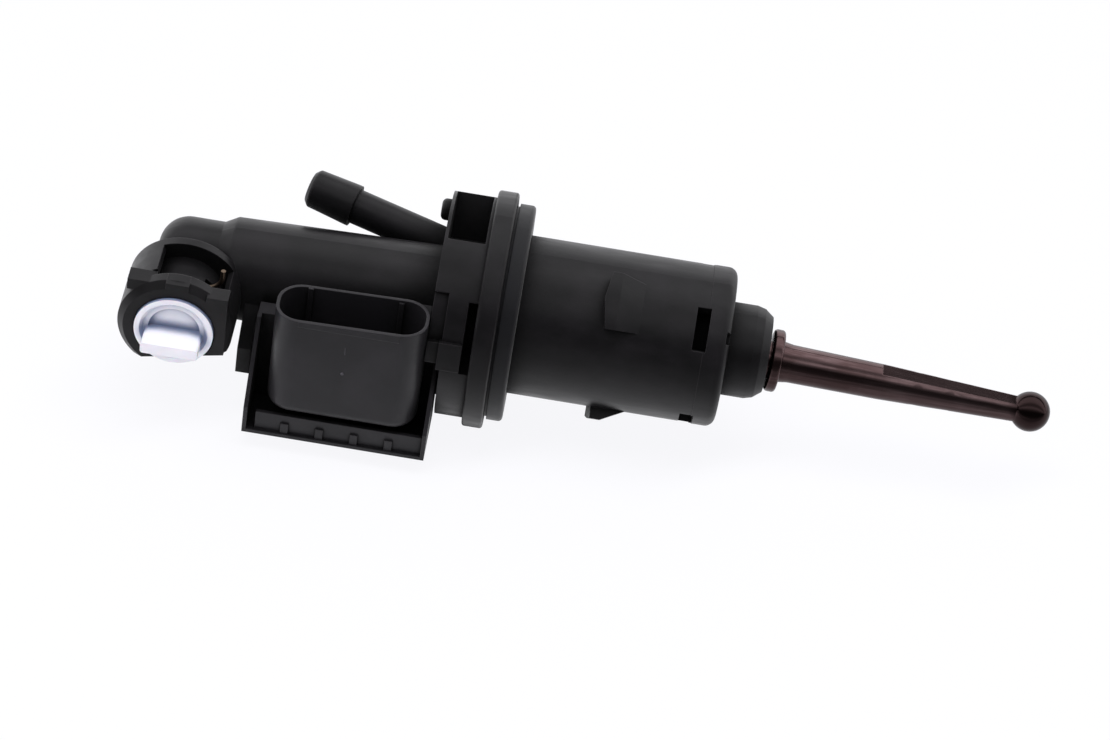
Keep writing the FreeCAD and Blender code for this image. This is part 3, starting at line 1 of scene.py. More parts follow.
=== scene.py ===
"""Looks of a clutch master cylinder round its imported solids.

+X runs along the cylinder towards the rod's ball, -Y is the way the outlet
faces and +Z is the way the sensor's socket opens. Lengths are in metres unless
a name says millimetres.
"""

import math

import bpy
import numpy as np
from mathutils import Matrix, Vector


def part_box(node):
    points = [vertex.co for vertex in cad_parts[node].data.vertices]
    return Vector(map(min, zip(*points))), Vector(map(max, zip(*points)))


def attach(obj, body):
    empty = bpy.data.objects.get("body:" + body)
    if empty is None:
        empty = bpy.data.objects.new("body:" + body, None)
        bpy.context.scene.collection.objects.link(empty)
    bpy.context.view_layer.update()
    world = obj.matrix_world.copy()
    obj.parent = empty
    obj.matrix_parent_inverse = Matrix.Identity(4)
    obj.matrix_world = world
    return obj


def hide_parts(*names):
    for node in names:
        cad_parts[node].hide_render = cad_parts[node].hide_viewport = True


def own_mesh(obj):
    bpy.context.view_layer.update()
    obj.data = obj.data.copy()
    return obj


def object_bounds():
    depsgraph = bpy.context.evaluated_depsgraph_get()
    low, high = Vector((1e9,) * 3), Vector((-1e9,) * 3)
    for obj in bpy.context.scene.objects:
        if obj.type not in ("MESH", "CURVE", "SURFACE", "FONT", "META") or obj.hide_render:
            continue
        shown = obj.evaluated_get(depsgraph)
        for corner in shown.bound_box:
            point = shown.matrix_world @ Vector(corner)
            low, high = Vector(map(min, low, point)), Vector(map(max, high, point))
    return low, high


bl_info = {
    "name": "Clutch master cylinder looks",
    "version": (1, 0, 0),
    "blender": (4, 5, 0),
    "location": "3D View > Sidebar > Cylinder",
    "description": "Finishes and small details of a clutch master cylinder",
    "category": "Object",
}

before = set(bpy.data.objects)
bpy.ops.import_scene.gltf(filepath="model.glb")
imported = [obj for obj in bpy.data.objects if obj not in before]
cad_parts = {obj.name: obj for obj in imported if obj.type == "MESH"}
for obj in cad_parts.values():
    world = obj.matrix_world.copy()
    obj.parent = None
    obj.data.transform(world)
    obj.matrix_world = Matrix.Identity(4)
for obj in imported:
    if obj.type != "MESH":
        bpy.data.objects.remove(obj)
cad_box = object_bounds()

MM = 0.001

# Brightness of the surround as the finishes mirror it: degrees up from the
# front level over the top to the back level, and how bright it is there
SURROUND = (
    (-12, 0.16), (4, 0.10), (16, 0.05), (38, 0.05), (50, 0.28), (60, 0.88), (66, 0.88),
    (73, 0.38), (85, 0.40), (98, 1.05), (120, 1.25), (132, 1.20), (134, 0.12), (146, 0.12),
    (148, 1.32), (180, 1.20),
)
SURROUND_TOP = 1.5
# How bright the surround is for the light that it sheds
SURROUND_SHED = 0.45

# The rod hangs this much below the cylinder's axis, from the middle of its inner ball
ROD_DROOP = math.radians(2.6)
ROD_ROOT = 36.0 * MM


def linear(code):
    """An sRGB hex code as linear red, green and blue."""
    parts = [int(code[at:at + 2], 16) / 255 for at in (1, 3, 5)]
    return tuple(
        part / 12.92 if part <= 0.04045 else ((part + 0.055) / 1.055) ** 2.4
        for part in parts
    )


def shade(name, words, code):
    """A colour that a user can change."""
    return bpy.props.FloatVectorProperty(
        name=name, description=words, subtype="COLOR", size=3, min=0, max=1,
        default=linear(code),
    )


def length(name, words, millimetres):
    """A length that a user can change."""
    return bpy.props.FloatProperty(
        name=name, description=words, subtype="DISTANCE", unit="LENGTH",
        default=millimetres * MM, precision=5,
    )


class CylinderFinishes(bpy.types.PropertyGroup):
    """Colours and pattern sizes of the finishes."""

    nylon: shade("Nylon", "Black glass-filled nylon of the cylinder and sleeve", "#0b0a0c")
    nylon_pale: shade("Nylon, pale", "Where the skin of the nylon is dry", "#161417")
    torn: shade("Torn polyester", "Where a gate was torn off the sensor", "#454349")
    nylon_worn: shade("Nylon, worn", "Edges that were rubbed in handling", "#3a373b")
    polyester: shade("Polyester", "Black glass-filled polyester of the sensor", "#1e1d20")
    polyester_pale: shade("Polyester, pale", "Where the skin of the polyester is dry", "#262428")
    rubber: shade("Rubber", "Moulded rubber of the gasket", "#0a0a0d")
    rubber_bloom: shade("Rubber, bloom", "Dusty bloom on the rubber", "#121216")
    steel: shade("Steel", "Browned forged steel of the rod", "#5e4b4b")
    steel_bright: shade("Steel, rubbed", "Where the browning is rubbed thin", "#8a7576")
    # Painted shade: the rod's underside is darkened towards this colour. The ball is darkened
    # towards it too.
    steel_shade_and_ball: shade("Steel, oiled", "The darker ball and underside of the rod", "#352929")
    wire: shade("Wire", "Pale bent spring wire of the clip", "#93806f")
    plug: shade("Plug", "Milky polyethylene of the blanking plug", "#f0eff6")
    # Painted shade: the plug's hollows are mixed towards this darker, bluer colour. Its random
    # clouds use the colour too.
    plug_clouds_and_hollow_shade: shade("Plug, thick", "Hollows of the milky plug", "#7a84a0")
    brass: shade("Brass", "Tinned brass of the terminals", "#b8a77c")
    spring_wire: length("Spring wire", "Radius of the return spring's wire", 0.75)
    spring_turns: bpy.props.IntProperty(
        name="Spring turns", description="Turns of the return spring", default=9, min=3,
    )
    grain: length("Grain", "Spacing of the spark-eroded grain on the mouldings", 0.7)
    flow: length("Flow marks", "Spacing of the glass fibre flow marks", 2.6)
    cloud: length("Clouding", "Size of the dry and wet patches of the skin", 11.0)
    edge: length("Edge softness", "Radius that the moulded edges show", 0.3)


class CylinderStage(bpy.types.PropertyGroup):
    """Camera, floor and lamps."""

    distance: bpy.props.FloatProperty(
        name="Camera distance", description="From the camera to the object's middle",
        subtype="DISTANCE", unit="LENGTH", default=0.99,
    )
    lens: bpy.props.FloatProperty(
        name="Lens", description="Focal length on a 36 mm sensor in millimetres", default=130.0,
    )
    rise: bpy.props.FloatProperty(
        name="Rise", description="Angle of the camera above the level",
        subtype="ANGLE", unit="ROTATION", default=math.radians(40.0),
    )
    roll: bpy.props.FloatProperty(
        name="Roll", description="Turn of the camera about its own sight line",
        subtype="ANGLE", unit="ROTATION", default=math.radians(9.3),
    )
    floor: shade("Floor", "Colour of the pale floor", "#fcfcff")


def add_node(tree, kind, values=None, links=None, **settings):
    """Adds a node with its settings, its sockets' values and its links."""
    node = tree.nodes.new(kind)
    for name, value in settings.items():
        setattr(node, name, value)
    for socket, value in (values or {}).items():
        node.inputs[socket].default_value = value
    for socket, source in (links or {}).items():
        tree.links.new(source, node.inputs[socket])
    return node


def new_material(name, **surface):
    """A material with one principled shader, its constants on the shader's own sockets."""
    material = bpy.data.materials.new(name)
    material.use_nodes = True
    tree = material.node_tree
    tree.nodes.clear()
    shader = add_node(tree, "ShaderNodeBsdfPrincipled", surface)
    add_node(tree, "ShaderNodeOutputMaterial", links={"Surface": shader.outputs[0]})
    return material, tree, shader


def rgba(colour):
    """A colour with full opacity."""
    return (*colour, 1.0)


def mixed(tree, factor, first, second):
    """Mixes two colours, each a colour or a socket, by a factor socket."""
    values = {}
    links = {0: factor}
    for slot, colour in ((6, first), (7, second)):
        if isinstance(colour, bpy.types.NodeSocket):
            links[slot] = colour
        else:
            values[slot] = rgba(colour)
    node = add_node(tree, "ShaderNodeMix", values, links, data_type="RGBA")
    return node.outputs[2]


def moulded(name, dark, pale, worn, settings, rough=(0.33, 0.46)):
    """Moulded thermoplastic: eroded grain, glass fibre flow marks, patches of
    dry skin, softened edges and edges rubbed in handling. Hollows are matt, and
    painted shade darkens their colour."""
    material, tree, shader = new_material(name, **{"IOR": 1.5, "Specular IOR Level": 0.37})
    where = add_node(tree, "ShaderNodeTexCoord").outputs["Object"]
    cloud = add_node(
        tree, "ShaderNodeTexNoise",
        {"Scale": 1 / settings.cloud, "Detail": 3.0, "Roughness": 0.55}, {"Vector": where},
    )
    stretch = add_node(
        tree, "ShaderNodeMapping", {"Scale": (0.22, 1.0, 1.0)}, {"Vector": where},
    )
    flow = add_node(
        tree, "ShaderNodeTexNoise",
        {"Scale": 1 / settings.flow, "Detail": 4.0, "Roughness": 0.6, "Distortion": 0.4},
        {"Vector": stretch.outputs[0]},
    )
    grain = add_node(
        tree, "ShaderNodeTexNoise",
        {"Scale": 1 / settings.grain, "Detail": 2.0, "Roughness": 0.5}, {"Vector": where},
    )
    patches = add_node(
        tree, "ShaderNodeMapRange", {1: 0.42, 2: 0.68, 3: 0.0, 4: 0.75}, {0: cloud.outputs[0]},
    )
    skin = mixed(tree, patches.outputs[0], dark, pale)
    streaks = add_node(
        tree, "ShaderNodeMapRange", {1: 0.55, 2: 0.8, 3: 0.0, 4: 0.5}, {0: flow.outputs[0]},
    )
    skin = mixed(tree, streaks.outputs[0], skin, pale)
    soft = add_node(tree, "ShaderNodeBevel", {"Radius": settings.edge}, samples=6)
    true = add_node(tree, "ShaderNodeNewGeometry")
    match = add_node(
        tree, "ShaderNodeVectorMath",
        links={0: soft.outputs[0], 1: true.outputs["Normal"]}, operation="DOT_PRODUCT",
    )
    edge = add_node(
        tree, "ShaderNodeMapRange", {1: 0.985, 2: 0.86, 3: 0.0, 4: 0.8},
        {0: match.outputs["Value"]},
    )
    rub = add_node(
        tree, "ShaderNodeMath", links={0: edge.outputs[0], 1: cloud.outputs[0]},
        operation="MULTIPLY",
    )
    skin = mixed(tree, rub.outputs[0], skin, worn)
    gloss = add_node(
        tree, "ShaderNodeMapRange", {1: 0.3, 2: 0.7, 3: rough[0], 4: rough[1]},
        {0: flow.outputs[0]},
    )
    open_sky = add_node(
        tree, "ShaderNodeAmbientOcclusion", {"Distance": 14.0 * MM}, samples=6,
    )
    hollow_shade = add_node(
        tree, "ShaderNodeMapRange", {1: 0.80, 2: 0.40, 3: 0.0, 4: 1.0},
        {0: open_sky.outputs["AO"]},
    )
    matt = add_node(
        tree, "ShaderNodeMix", {3: 0.95}, {0: hollow_shade.outputs[0], 2: gloss.outputs[0]},
        data_type="FLOAT",
    )
    tree.links.new(matt.outputs[0], shader.inputs["Roughness"])
    # Painted shade: the colour in hollows is darkened towards a near-black copy of it.
    skin = mixed(tree, hollow_shade.outputs[0], skin, tuple(0.15 * part for part in dark))
    tree.links.new(skin, shader.inputs["Base Color"])
    height = add_node(
        tree, "ShaderNodeMath", {1: 0.5}, {0: flow.outputs[0], 2: grain.outputs[0]},
        operation="MULTIPLY_ADD",
    )
    relief = add_node(
        tree, "ShaderNodeBump", {"Strength": 0.35, "Distance": 0.045 * MM},
        {"Height": height.outputs[0], "Normal": soft.outputs[0]},
    )
    tree.links.new(relief.outputs[0], shader.inputs["Normal"])
    return material


def rubbered(settings):
    """Moulded rubber: matt, with a dusty bloom and a fine pitted skin."""
    material, tree, shader = new_material(
        "moulded_rubber", **{"IOR": 1.4, "Sheen Weight": 0.08, "Sheen Roughness": 0.5},
    )
    where = add_node(tree, "ShaderNodeTexCoord").outputs["Object"]
    bloom = add_node(
        tree, "ShaderNodeTexNoise",
        {"Scale": 1 / (7 * MM), "Detail": 5.0, "Roughness": 0.6}, {"Vector": where},
    )
    pits = add_node(
        tree, "ShaderNodeTexNoise", {"Scale": 1 / (0.5 * MM), "Detail": 2.0}, {"Vector": where},
    )
    amount = add_node(
        tree, "ShaderNodeMapRange", {1: 0.4, 2: 0.7, 3: 0.15, 4: 0.9}, {0: bloom.outputs[0]},
    )
    colour = mixed(tree, amount.outputs[0], settings.rubber, settings.rubber_bloom)
    tree.links.new(colour, shader.inputs["Base Color"])
    rough = add_node(
        tree, "ShaderNodeMapRange", {1: 0.3, 2: 0.7, 3: 0.42, 4: 0.58}, {0: bloom.outputs[0]},
    )
    tree.links.new(rough.outputs[0], shader.inputs["Roughness"])
    soft = add_node(tree, "ShaderNodeBevel", {"Radius": settings.edge}, samples=6)
    relief = add_node(
        tree, "ShaderNodeBump", {"Strength": 0.3, "Distance": 0.05 * MM},
        {"Height": pits.outputs[0], "Normal": soft.outputs[0]},
    )
    tree.links.new(relief.outputs[0], shader.inputs["Normal"])
    return material


def browned_steel(settings):
    """Forged steel, browned: long drawn marks and rubbed patches, paler on the taper,
    darker on the ball, and darkened on the underside with painted shade."""
    material, tree, shader = new_material("browned_steel", Metallic=1.0)
    where = add_node(tree, "ShaderNodeTexCoord").outputs["Object"]
    parts = add_node(tree, "ShaderNodeSeparateXYZ", links={0: where})
    height = add_node(
        tree, "ShaderNodeMath", {1: math.tan(ROD_DROOP)},
        {0: parts.outputs["X"], 2: parts.outputs["Z"]}, operation="MULTIPLY_ADD",
    )
    level = ROD_ROOT * math.tan(ROD_DROOP)
    # Painted shade: the rod is darker below its axis, where less light falls.
    under = add_node(
        tree, "ShaderNodeMapRange", {1: level + 1.6 * MM, 2: level - 0.6 * MM, 3: 0.0, 4: 0.6},
        {0: height.outputs[0]},
    )
    ball = add_node(
        tree, "ShaderNodeMapRange", {1: 127.0 * MM, 2: 130.0 * MM, 3: 0.0, 4: 0.95},
        {0: parts.outputs["X"]},
    )
    shaded_underside_and_ball = add_node(
        tree, "ShaderNodeMath", links={0: under.outputs[0], 1: ball.outputs[0]},
        operation="MAXIMUM",
    )
    taper = add_node(
        tree, "ShaderNodeMapRange", {1: 92.0 * MM, 2: 99.0 * MM, 3: 0.0, 4: 0.35},
        {0: parts.outputs["X"]},
    )
    drawn = add_node(
        tree, "ShaderNodeMapping", {"Scale": (0.02, 1.0, 1.0)}, {"Vector": where},
    )
    marks = add_node(
        tree, "ShaderNodeTexNoise",
        {"Scale": 1 / (0.45 * MM), "Detail": 4.0, "Roughness": 0.55},
        {"Vector": drawn.outputs[0]},
    )
    patches = add_node(
        tree, "ShaderNodeTexNoise",
        {"Scale": 1 / (9 * MM), "Detail": 4.0, "Roughness": 0.6}, {"Vector": where},
    )
    both = add_node(
        tree, "ShaderNodeMath", links={0: marks.outputs[0], 1: patches.outputs[0]},
        operation="ADD",
    )
    thin = add_node(
        tree, "ShaderNodeMapRange", {1: 0.95, 2: 1.4, 3: 0.0, 4: 0.8}, {0: both.outputs[0]},
    )
    # Paler on the taper all over, plus random rubbed patches.
    rubbed = add_node(
        tree, "ShaderNodeMath", links={0: thin.outputs[0], 1: taper.outputs[0]}, operation="ADD",
        use_clamp=True,
    )
    colour = mixed(tree, rubbed.outputs[0], settings.steel, settings.steel_bright)
    colour = mixed(tree, shaded_underside_and_ball.outputs[0], colour, settings.steel_shade_and_ball)
    tree.links.new(colour, shader.inputs["Base Color"])
    rough = add_node(
        tree, "ShaderNodeMapRange", {1: 0.3, 2: 0.7, 3: 0.18, 4: 0.11}, {0: patches.outputs[0]},
    )
    tree.links.new(rough.outputs[0], shader.inputs["Roughness"])
    soft = add_node(tree, "ShaderNodeBevel", {"Radius": settings.edge}, samples=6)
    relief = add_node(
        tree, "ShaderNodeBump", {"Strength": 0.25, "Distance": 0.02 * MM},
        {"Height": marks.outputs[0], "Normal": soft.outputs[0]},
    )
    tree.links.new(relief.outputs[0], shader.inputs["Normal"])
    return material


def drawn_wire(name, colour, rough):
    """Bright drawn wire or stamped strip: fine drawing marks and dull patches."""
    material, tree, shader = new_material(name, Metallic=1.0)
    where = add_node(tree, "ShaderNodeTexCoord").outputs["Object"]
    marks = add_node(
        tree, "ShaderNodeTexNoise",
        {"Scale": 1 / (0.4 * MM), "Detail": 3.0, "Roughness": 0.6}, {"Vector": where},
    )
    dull = add_node(
        tree, "ShaderNodeMapRange", {1: 0.35, 2: 0.7, 3: rough, 4: rough + 0.18},
        {0: marks.outputs[0]},
    )
    tint = mixed(tree, marks.outputs[0], colour, tuple(0.7 * part for part in colour))
    tree.links.new(tint, shader.inputs["Base Color"])
    tree.links.new(dull.outputs[0], shader.inputs["Roughness"])
    relief = add_node(
        tree, "ShaderNodeBump", {"Strength": 0.2, "Distance": 0.02 * MM},
        {"Height": marks.outputs[0]},
    )
    tree.links.new(relief.outputs[0], shader.inputs["Normal"])
    return material


def milky_plastic(settings):
    """Milky polyethylene: light goes in and scatters. Painted shade makes the hollows darker and
    bluer.
    """
    material, tree, shader = new_material(
        "milky_polyethylene",
        **{"IOR": 1.5, "Subsurface Weight": 0.25, "Subsurface Scale": 1.5 * MM},
    )
    where = add_node(tree, "ShaderNodeTexCoord").outputs["Object"]
    cloud = add_node(
        tree, "ShaderNodeTexNoise",
        {"Scale": 1 / (8 * MM), "Detail": 2.0, "Roughness": 0.5}, {"Vector": where},
    )
    scuffs = add_node(
        tree, "ShaderNodeTexNoise", {"Scale": 1 / (0.6 * MM), "Detail": 2.0}, {"Vector": where},
    )
    open_sky = add_node(
        tree, "ShaderNodeAmbientOcclusion", {"Distance": 3.0 * MM}, samples=8,
    )
    hollow_shade = add_node(
        tree, "ShaderNodeMapRange", {1: 0.98, 2: 0.62, 3: 0.0, 4: 1.0},
        {0: open_sky.outputs["AO"]},
    )
    # Painted shade: hollows push the colour towards the darker, bluer plug colour, on top of the
    # random clouds.
    amount = add_node(
        tree, "ShaderNodeMath", {1: 0.25}, {0: cloud.outputs[0], 2: hollow_shade.outputs[0]},
        operation="MULTIPLY_ADD",
    )
    colour = mixed(tree, amount.outputs[0], settings.plug, settings.plug_clouds_and_hollow_shade)
    tree.links.new(colour, shader.inputs["Base Color"])
    rough = add_node(
        tree, "ShaderNodeMapRange", {1: 0.3, 2: 0.7, 3: 0.28, 4: 0.42}, {0: scuffs.outputs[0]},
    )
    tree.links.new(rough.outputs[0], shader.inputs["Roughness"])
    soft = add_node(tree, "ShaderNodeBevel", {"Radius": settings.edge}, samples=6)
    relief = add_node(
        tree, "ShaderNodeBump", {"Strength": 0.15, "Distance": 0.03 * MM},
        {"Height": scuffs.outputs[0], "Normal": soft.outputs[0]},
    )
    tree.links.new(relief.outputs[0], shader.inputs["Normal"])
    return material


def dress(names, material):
    """Gives CAD nodes a material, in place of the plain one they came with."""
    for name in names:
        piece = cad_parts[name]
        piece.data.materials.clear()
        piece.data.materials.append(material)


class CYLINDER_OT_finish_nylon(bpy.types.Operator):
    """Finishes the nylon mouldings of the cylinder, its sleeve and its cap"""

    bl_idname = "cylinder.finish_nylon"
    bl_label = "Finish the nylon mouldings"

    def execute(self, context):
        s = context.scene.cylinder_finishes
        nylon = moulded("glass_filled_nylon", s.nylon, s.nylon_pale, s.nylon_worn, s)
        dress(
            ["cylinder_body", "guide_sleeve", "outlet_cap", "piston_tail"], nylon,
        )
        dull = moulded(
            "dull_black_nylon", s.nylon, s.nylon, s.nylon_pale, s, rough=(0.7, 0.85),
        )
        dress(["stop_ring"], dull)
        smooth = moulded(
            "smooth_black_nylon", s.nylon, s.nylon, s.nylon_pale, s, rough=(0.3, 0.4),
        )
        dress(["piston", "guide_bush", "seal_spacer"], smooth)
        acetal = moulded(
            "natural_acetal", linear("#a49f94"), linear("#b8b3a8"), linear("#c8c4ba"), s,
            rough=(0.25, 0.35),
        )
        dress(["ball_cup"], acetal)
        return {"FINISHED"}


class CYLINDER_OT_finish_sensor(bpy.types.Operator):
    """Finishes the position sensor's housing, cover, board, chips and terminals"""

    bl_idname = "cylinder.finish_sensor"
    bl_label = "Finish the sensor"

    def execute(self, context):
        s = context.scene.cylinder_finishes
        polyester = moulded(
            "glass_filled_polyester", s.polyester, s.polyester_pale, s.nylon_worn, s,
        )
        dress(["sensor_housing", "sensor_cover"], polyester)
        lacquer = moulded(
            "lacquered_laminate", linear("#123c24"), linear("#1a5231"), linear("#2c6a45"), s,
            rough=(0.25, 0.4),
        )
        dress(["sensor_board"], lacquer)
        package = moulded(
            "chip_moulding", linear("#141414"), linear("#1e1e1e"), linear("#333333"), s,
        )
        dress(["sensor_chips"], package)
        dress(["sensor_pins"], drawn_wire("tinned_brass", s.brass, 0.28))
        return {"FINISHED"}


class CYLINDER_OT_finish_rubber(bpy.types.Operator):
    """Finishes the gasket, the seals and the O-ring"""

    bl_idname = "cylinder.finish_rubber"
    bl_label = "Finish the rubber"

    def execute(self, context):
        material = rubbered(context.scene.cylinder_finishes)
        dress(["flange_gasket", "primary_seal", "secondary_seal", "outlet_ring"], material)
        return {"FINISHED"}


class CYLINDER_OT_finish_metals(bpy.types.Operator):
    """Finishes the push rod, the magnet and the wire clip"""

    bl_idname = "cylinder.finish_metals"
    bl_label = "Finish the metals"

    def execute(self, context):
        s = context.scene.cylinder_finishes
        dress(["push_rod"], browned_steel(s))
        dress(["outlet_clip"], drawn_wire("pale_spring_wire", s.wire, 0.3))
        ferrite = moulded(
            "bonded_ferrite", linear("#1c1c1e"), linear("#26262a"), linear("#3a3a40"), s,
        )
        dress(["piston_magnet"], ferrite)
        return {"FINISHED"}


class CYLINDER_OT_finish_plug(bpy.types.Operator):
    """Finishes the blanking plug in the outlet"""

    bl_idname = "cylinder.finish_plug"
    bl_label = "Finish the blanking plug"

    def execute(self, context):
        dress(["blanking_plug"], milky_plastic(context.scene.cylinder_finishes))
        return {"FINISHED"}


def put_mesh(name, corners, faces, material):
    """Puts an array of corners and faces into a piece that rides with the body."""
    mesh = bpy.data.meshes.new(name)
    mesh.from_pydata(corners, [], faces)
    mesh.update()
    mesh.materials.append(material)
    piece = bpy.data.objects.new(name, mesh)
    bpy.context.scene.collection.objects.link(piece)
    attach(piece, "body")
    return piece


def bead(middle, across, along, out, radius, half_length, height, steps=(24, 6)):
    """A low bead on a flat wall. A point at angle a and share s lies at the middle plus
    s times (radius cos a across + (radius sin a, pushed out by half_length on the side
    that sin a points to) along), and it stands out by height times (1 - s squared). A
    fan of faces closes it underneath, just inside the wall."""
    angle = np.linspace(0, 2 * np.pi, steps[0], endpoint=False)[None, :]
    share = np.linspace(1, 0, steps[1], endpoint=False)[:, None]
    sideways = share * radius * np.cos(angle)
    towards = np.sign(np.round(np.sin(angle), 6))
    lengthways = share * (radius * np.sin(angle) + half_length * towards)
    lift = height * (1 - share ** 2) - 0.02 * MM * share
    grid = (
        np.array(middle) + sideways[..., None] * np.array(across)
        + lengthways[..., None] * np.array(along)
        + (lift + 0 * angle)[..., None] * np.array(out)
    ).reshape(-1, 3)
    top = np.array(middle) + height * np.array(out)
    under = np.array(middle) - 0.02 * MM * np.array(out)
    corners = np.vstack([grid, top, under])
    count = steps[0]
    ring = np.arange(count)
    after = (ring + 1) % count
    faces = [
        (row * count + a, row * count + b, (row + 1) * count + b, (row + 1) * count + a)
        for row in range(steps[1] - 1) for a, b in zip(ring.tolist(), after.tolist())
    ]
    last = (steps[1] - 1) * count
    pairs = list(zip(ring.tolist(), after.tolist()))
    faces += [(last + a, last + b, len(corners) - 2) for a, b in pairs]
    faces += [(b, a, len(corners) - 1) for a, b in pairs]
    return corners, faces


def coil(start, end, radius, wire, turns, steps=(720, 12)):
    """A wire wound into a coil along X. At share t of its length the wire's middle is at
    angle 2 pi turns t on a circle of the coil's radius, and at start plus (end - start)
    times a share that grows slowly over the first and last turn and evenly between. The
    wire's skin is a circle of its own radius across that path, drawn in to a point at
    both ends."""
    share = np.linspace(0, 1, steps[0])
    turn = 2 * np.pi * turns * share
    closed = 1 / turns
    pace = 0.22 + 0.78 * np.clip(np.minimum(share, 1 - share) / closed - 0.4, 0, 1)
    advance = np.concatenate([[0], np.cumsum((pace[1:] + pace[:-1]) / 2)])
    along = start + (end - start) * advance / advance[-1]
    path = np.stack([along, radius * np.cos(turn), radius * np.sin(turn)], axis=1)
    ahead = np.gradient(path, axis=0)
    ahead /= np.linalg.norm(ahead, axis=1, keepdims=True)
    outward = np.stack([0 * turn, np.cos(turn), np.sin(turn)], axis=1)
    side = np.cross(ahead, outward)
    angle = np.linspace(0, 2 * np.pi, steps[1], endpoint=False)
    grid = path[:, None, :] + wire * (
        np.cos(angle)[None, :, None] * outward[:, None, :]
        + np.sin(angle)[None, :, None] * side[:, None, :]
    )
    corners = np.vstack([grid.reshape(-1, 3), path[:1], path[-1:]])
    ring = np.arange(steps[1])
    after = (ring + 1) % steps[1]
    base = steps[1] * np.arange(steps[0] - 1)[:, None]
    quads = np.stack(
        [base + ring, base + after, base + steps[1] + after, base + steps[1] + ring], axis=-1,
    ).reshape(-1, 4)
    first, last = len(corners) - 2, len(corners) - 1
    tail = steps[1] * (steps[0] - 1)
    caps = [(first, b, a) for a, b in zip(ring.tolist(), after.tolist())]
    caps += [(last, tail + a, tail + b) for a, b in zip(ring.tolist(), after.tolist())]
    return corners, quads.tolist() + caps


class CYLINDER_OT_wind_spring(bpy.types.Operator):
    """Winds the return spring with closed ends"""

    bl_idname = "cylinder.wind_spring"
    bl_label = "Wind the return spring"

    def execute(self, context):
        low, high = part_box("return_spring")
        wire = context.scene.cylinder_finishes.spring_wire
        corners, faces = coil(
            low.x + wire, high.x - wire, high.y - wire, wire,
            context.scene.cylinder_finishes.spring_turns,
        )
        bright = drawn_wire("bright_spring_wire", linear("#9c9da2"), 0.25)
        piece = put_mesh("return_spring_coil", corners, faces, bright)
        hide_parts("return_spring")
        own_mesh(piece)
        return {"FINISHED"}


class CYLINDER_OT_add_gate_marks(bpy.types.Operator):
    """Adds the gate's stub and the witness line above it, on the front of the socket"""

    bl_idname = "cylinder.add_gate_marks"
    bl_label = "Add the gate marks"

    def execute(self, context):
        torn = context.scene.cylinder_finishes.torn
        polyester = moulded(
            "torn_polyester", torn, torn, torn, context.scene.cylinder_finishes, rough=(0.6, 0.8),
        )
        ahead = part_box("sensor_housing")[0].y - 5 * MM
        for name, place, radius, half_length, height in (
            ("socket_gate_stub", (-35.0, -1.5), 0.45, 0.05, 0.16),
            ("socket_witness_line", (-34.9, 5.6), 0.13, 1.2, 0.06),
        ):
            x, z = place[0] * MM, place[1] * MM
            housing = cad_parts["sensor_housing"]
            found, spot, _, _ = housing.ray_cast((x, ahead, z), (0, 1, 0))
            if not found:
                raise RuntimeError(f"{name} has no wall to stand on")
            corners, faces = bead(
                spot, (1, 0, 0), (0, 0, 1), (0, -1, 0),
                radius * MM, half_length * MM, height * MM,
            )
            put_mesh(name, corners, faces, polyester)
        return {"FINISHED"}


class CYLINDER_OT_lay_stage(bpy.types.Operator):
    """Lays the pale floor, hangs the lamps and sets up the camera"""

    bl_idname = "cylinder.lay_stage"
    bl_label = "Lay the stage"

    def execute(self, context):
        scene = context.scene
        s = scene.cylinder_stage
        lay_floor(s)
        light_world(scene)
        hang_lamps(scene)
        set_camera(scene, s)
        scene.view_settings.view_transform = "Standard"
        return {"FINISHED"}


def lay_floor(settings):
    """A wide flat floor just under the object, white to the camera but for the
    object's shadow. In mirror images it glows as a painted reflection, bright under
    the object and dimmer in front of it and under the rod."""
    half = 6.0
    low = cad_box[0].z - 0.5 * MM
    corners = half * np.array([(-1, -1, 0), (1, -1, 0), (1, 1, 0), (-1, 1, 0)])
    corners = corners + np.array([0, 0, low])
    mesh = bpy.data.meshes.new("floor")
    mesh.from_pydata(corners, [], [(0, 1, 2, 3)])
    floor = bpy.data.objects.new("floor", mesh)
    bpy.context.scene.collection.objects.link(floor)
    material, tree, shader = new_material("pale_floor", Roughness=0.9, IOR=1.1)
    shader.inputs["Base Color"].default_value = rgba(settings.floor)
    light = add_node(tree, "ShaderNodeLightPath")
    seen = light.outputs["Is Camera Ray"]
    for word in ("Is Glossy Ray", "Is Transmission Ray"):
        seen = add_node(
            tree, "ShaderNodeMath", links={0: seen, 1: light.outputs[word]}, operation="MAXIMUM",
        ).outputs[0]
    share = add_node(tree, "ShaderNodeMath", {1: 0.93}, {0: seen}, operation="MULTIPLY")
    where = add_node(tree, "ShaderNodeTexCoord").outputs["Object"]
    parts = add_node(tree, "ShaderNodeSeparateXYZ", links={0: where})
    # Painted reflection: how brightly the floor glows in mirror images, by place.
    mirrored = add_node(
        tree, "ShaderNodeMapRange", {1: -90 * MM, 2: -10 * MM, 3: 0.26, 4: 1.1},
        {0: parts.outputs["Y"]},
    )
    under_rod = add_node(
        tree, "ShaderNodeMapRange", {1: 50 * MM, 2: 70 * MM, 3: 1.0, 4: 0.6},
        {0: parts.outputs["X"]},
    )
    mirrored = add_node(
        tree, "ShaderNodeMath", links={0: mirrored.outputs[0], 1: under_rod.outputs[0]},
        operation="MULTIPLY",
    )
    strength = add_node(
        tree, "ShaderNodeMix", {2: 1.0},
        {0: light.outputs["Is Glossy Ray"], 3: mirrored.outputs[0]}, data_type="FLOAT",
    )
    glow = add_node(
        tree, "ShaderNodeEmission", {"Color": rgba(settings.floor)},
        {"Strength": strength.outputs[0]},
    )
    blend = add_node(
        tree, "ShaderNodeMixShader",
        links={0: share.outputs[0], 1: shader.outputs[0], 2: glow.outputs[0]},
    )
    out = next(node for node in tree.nodes if node.type == "OUTPUT_MATERIAL")
    tree.links.new(blend.outputs[0], out.inputs["Surface"])
    mesh.materials.append(material)


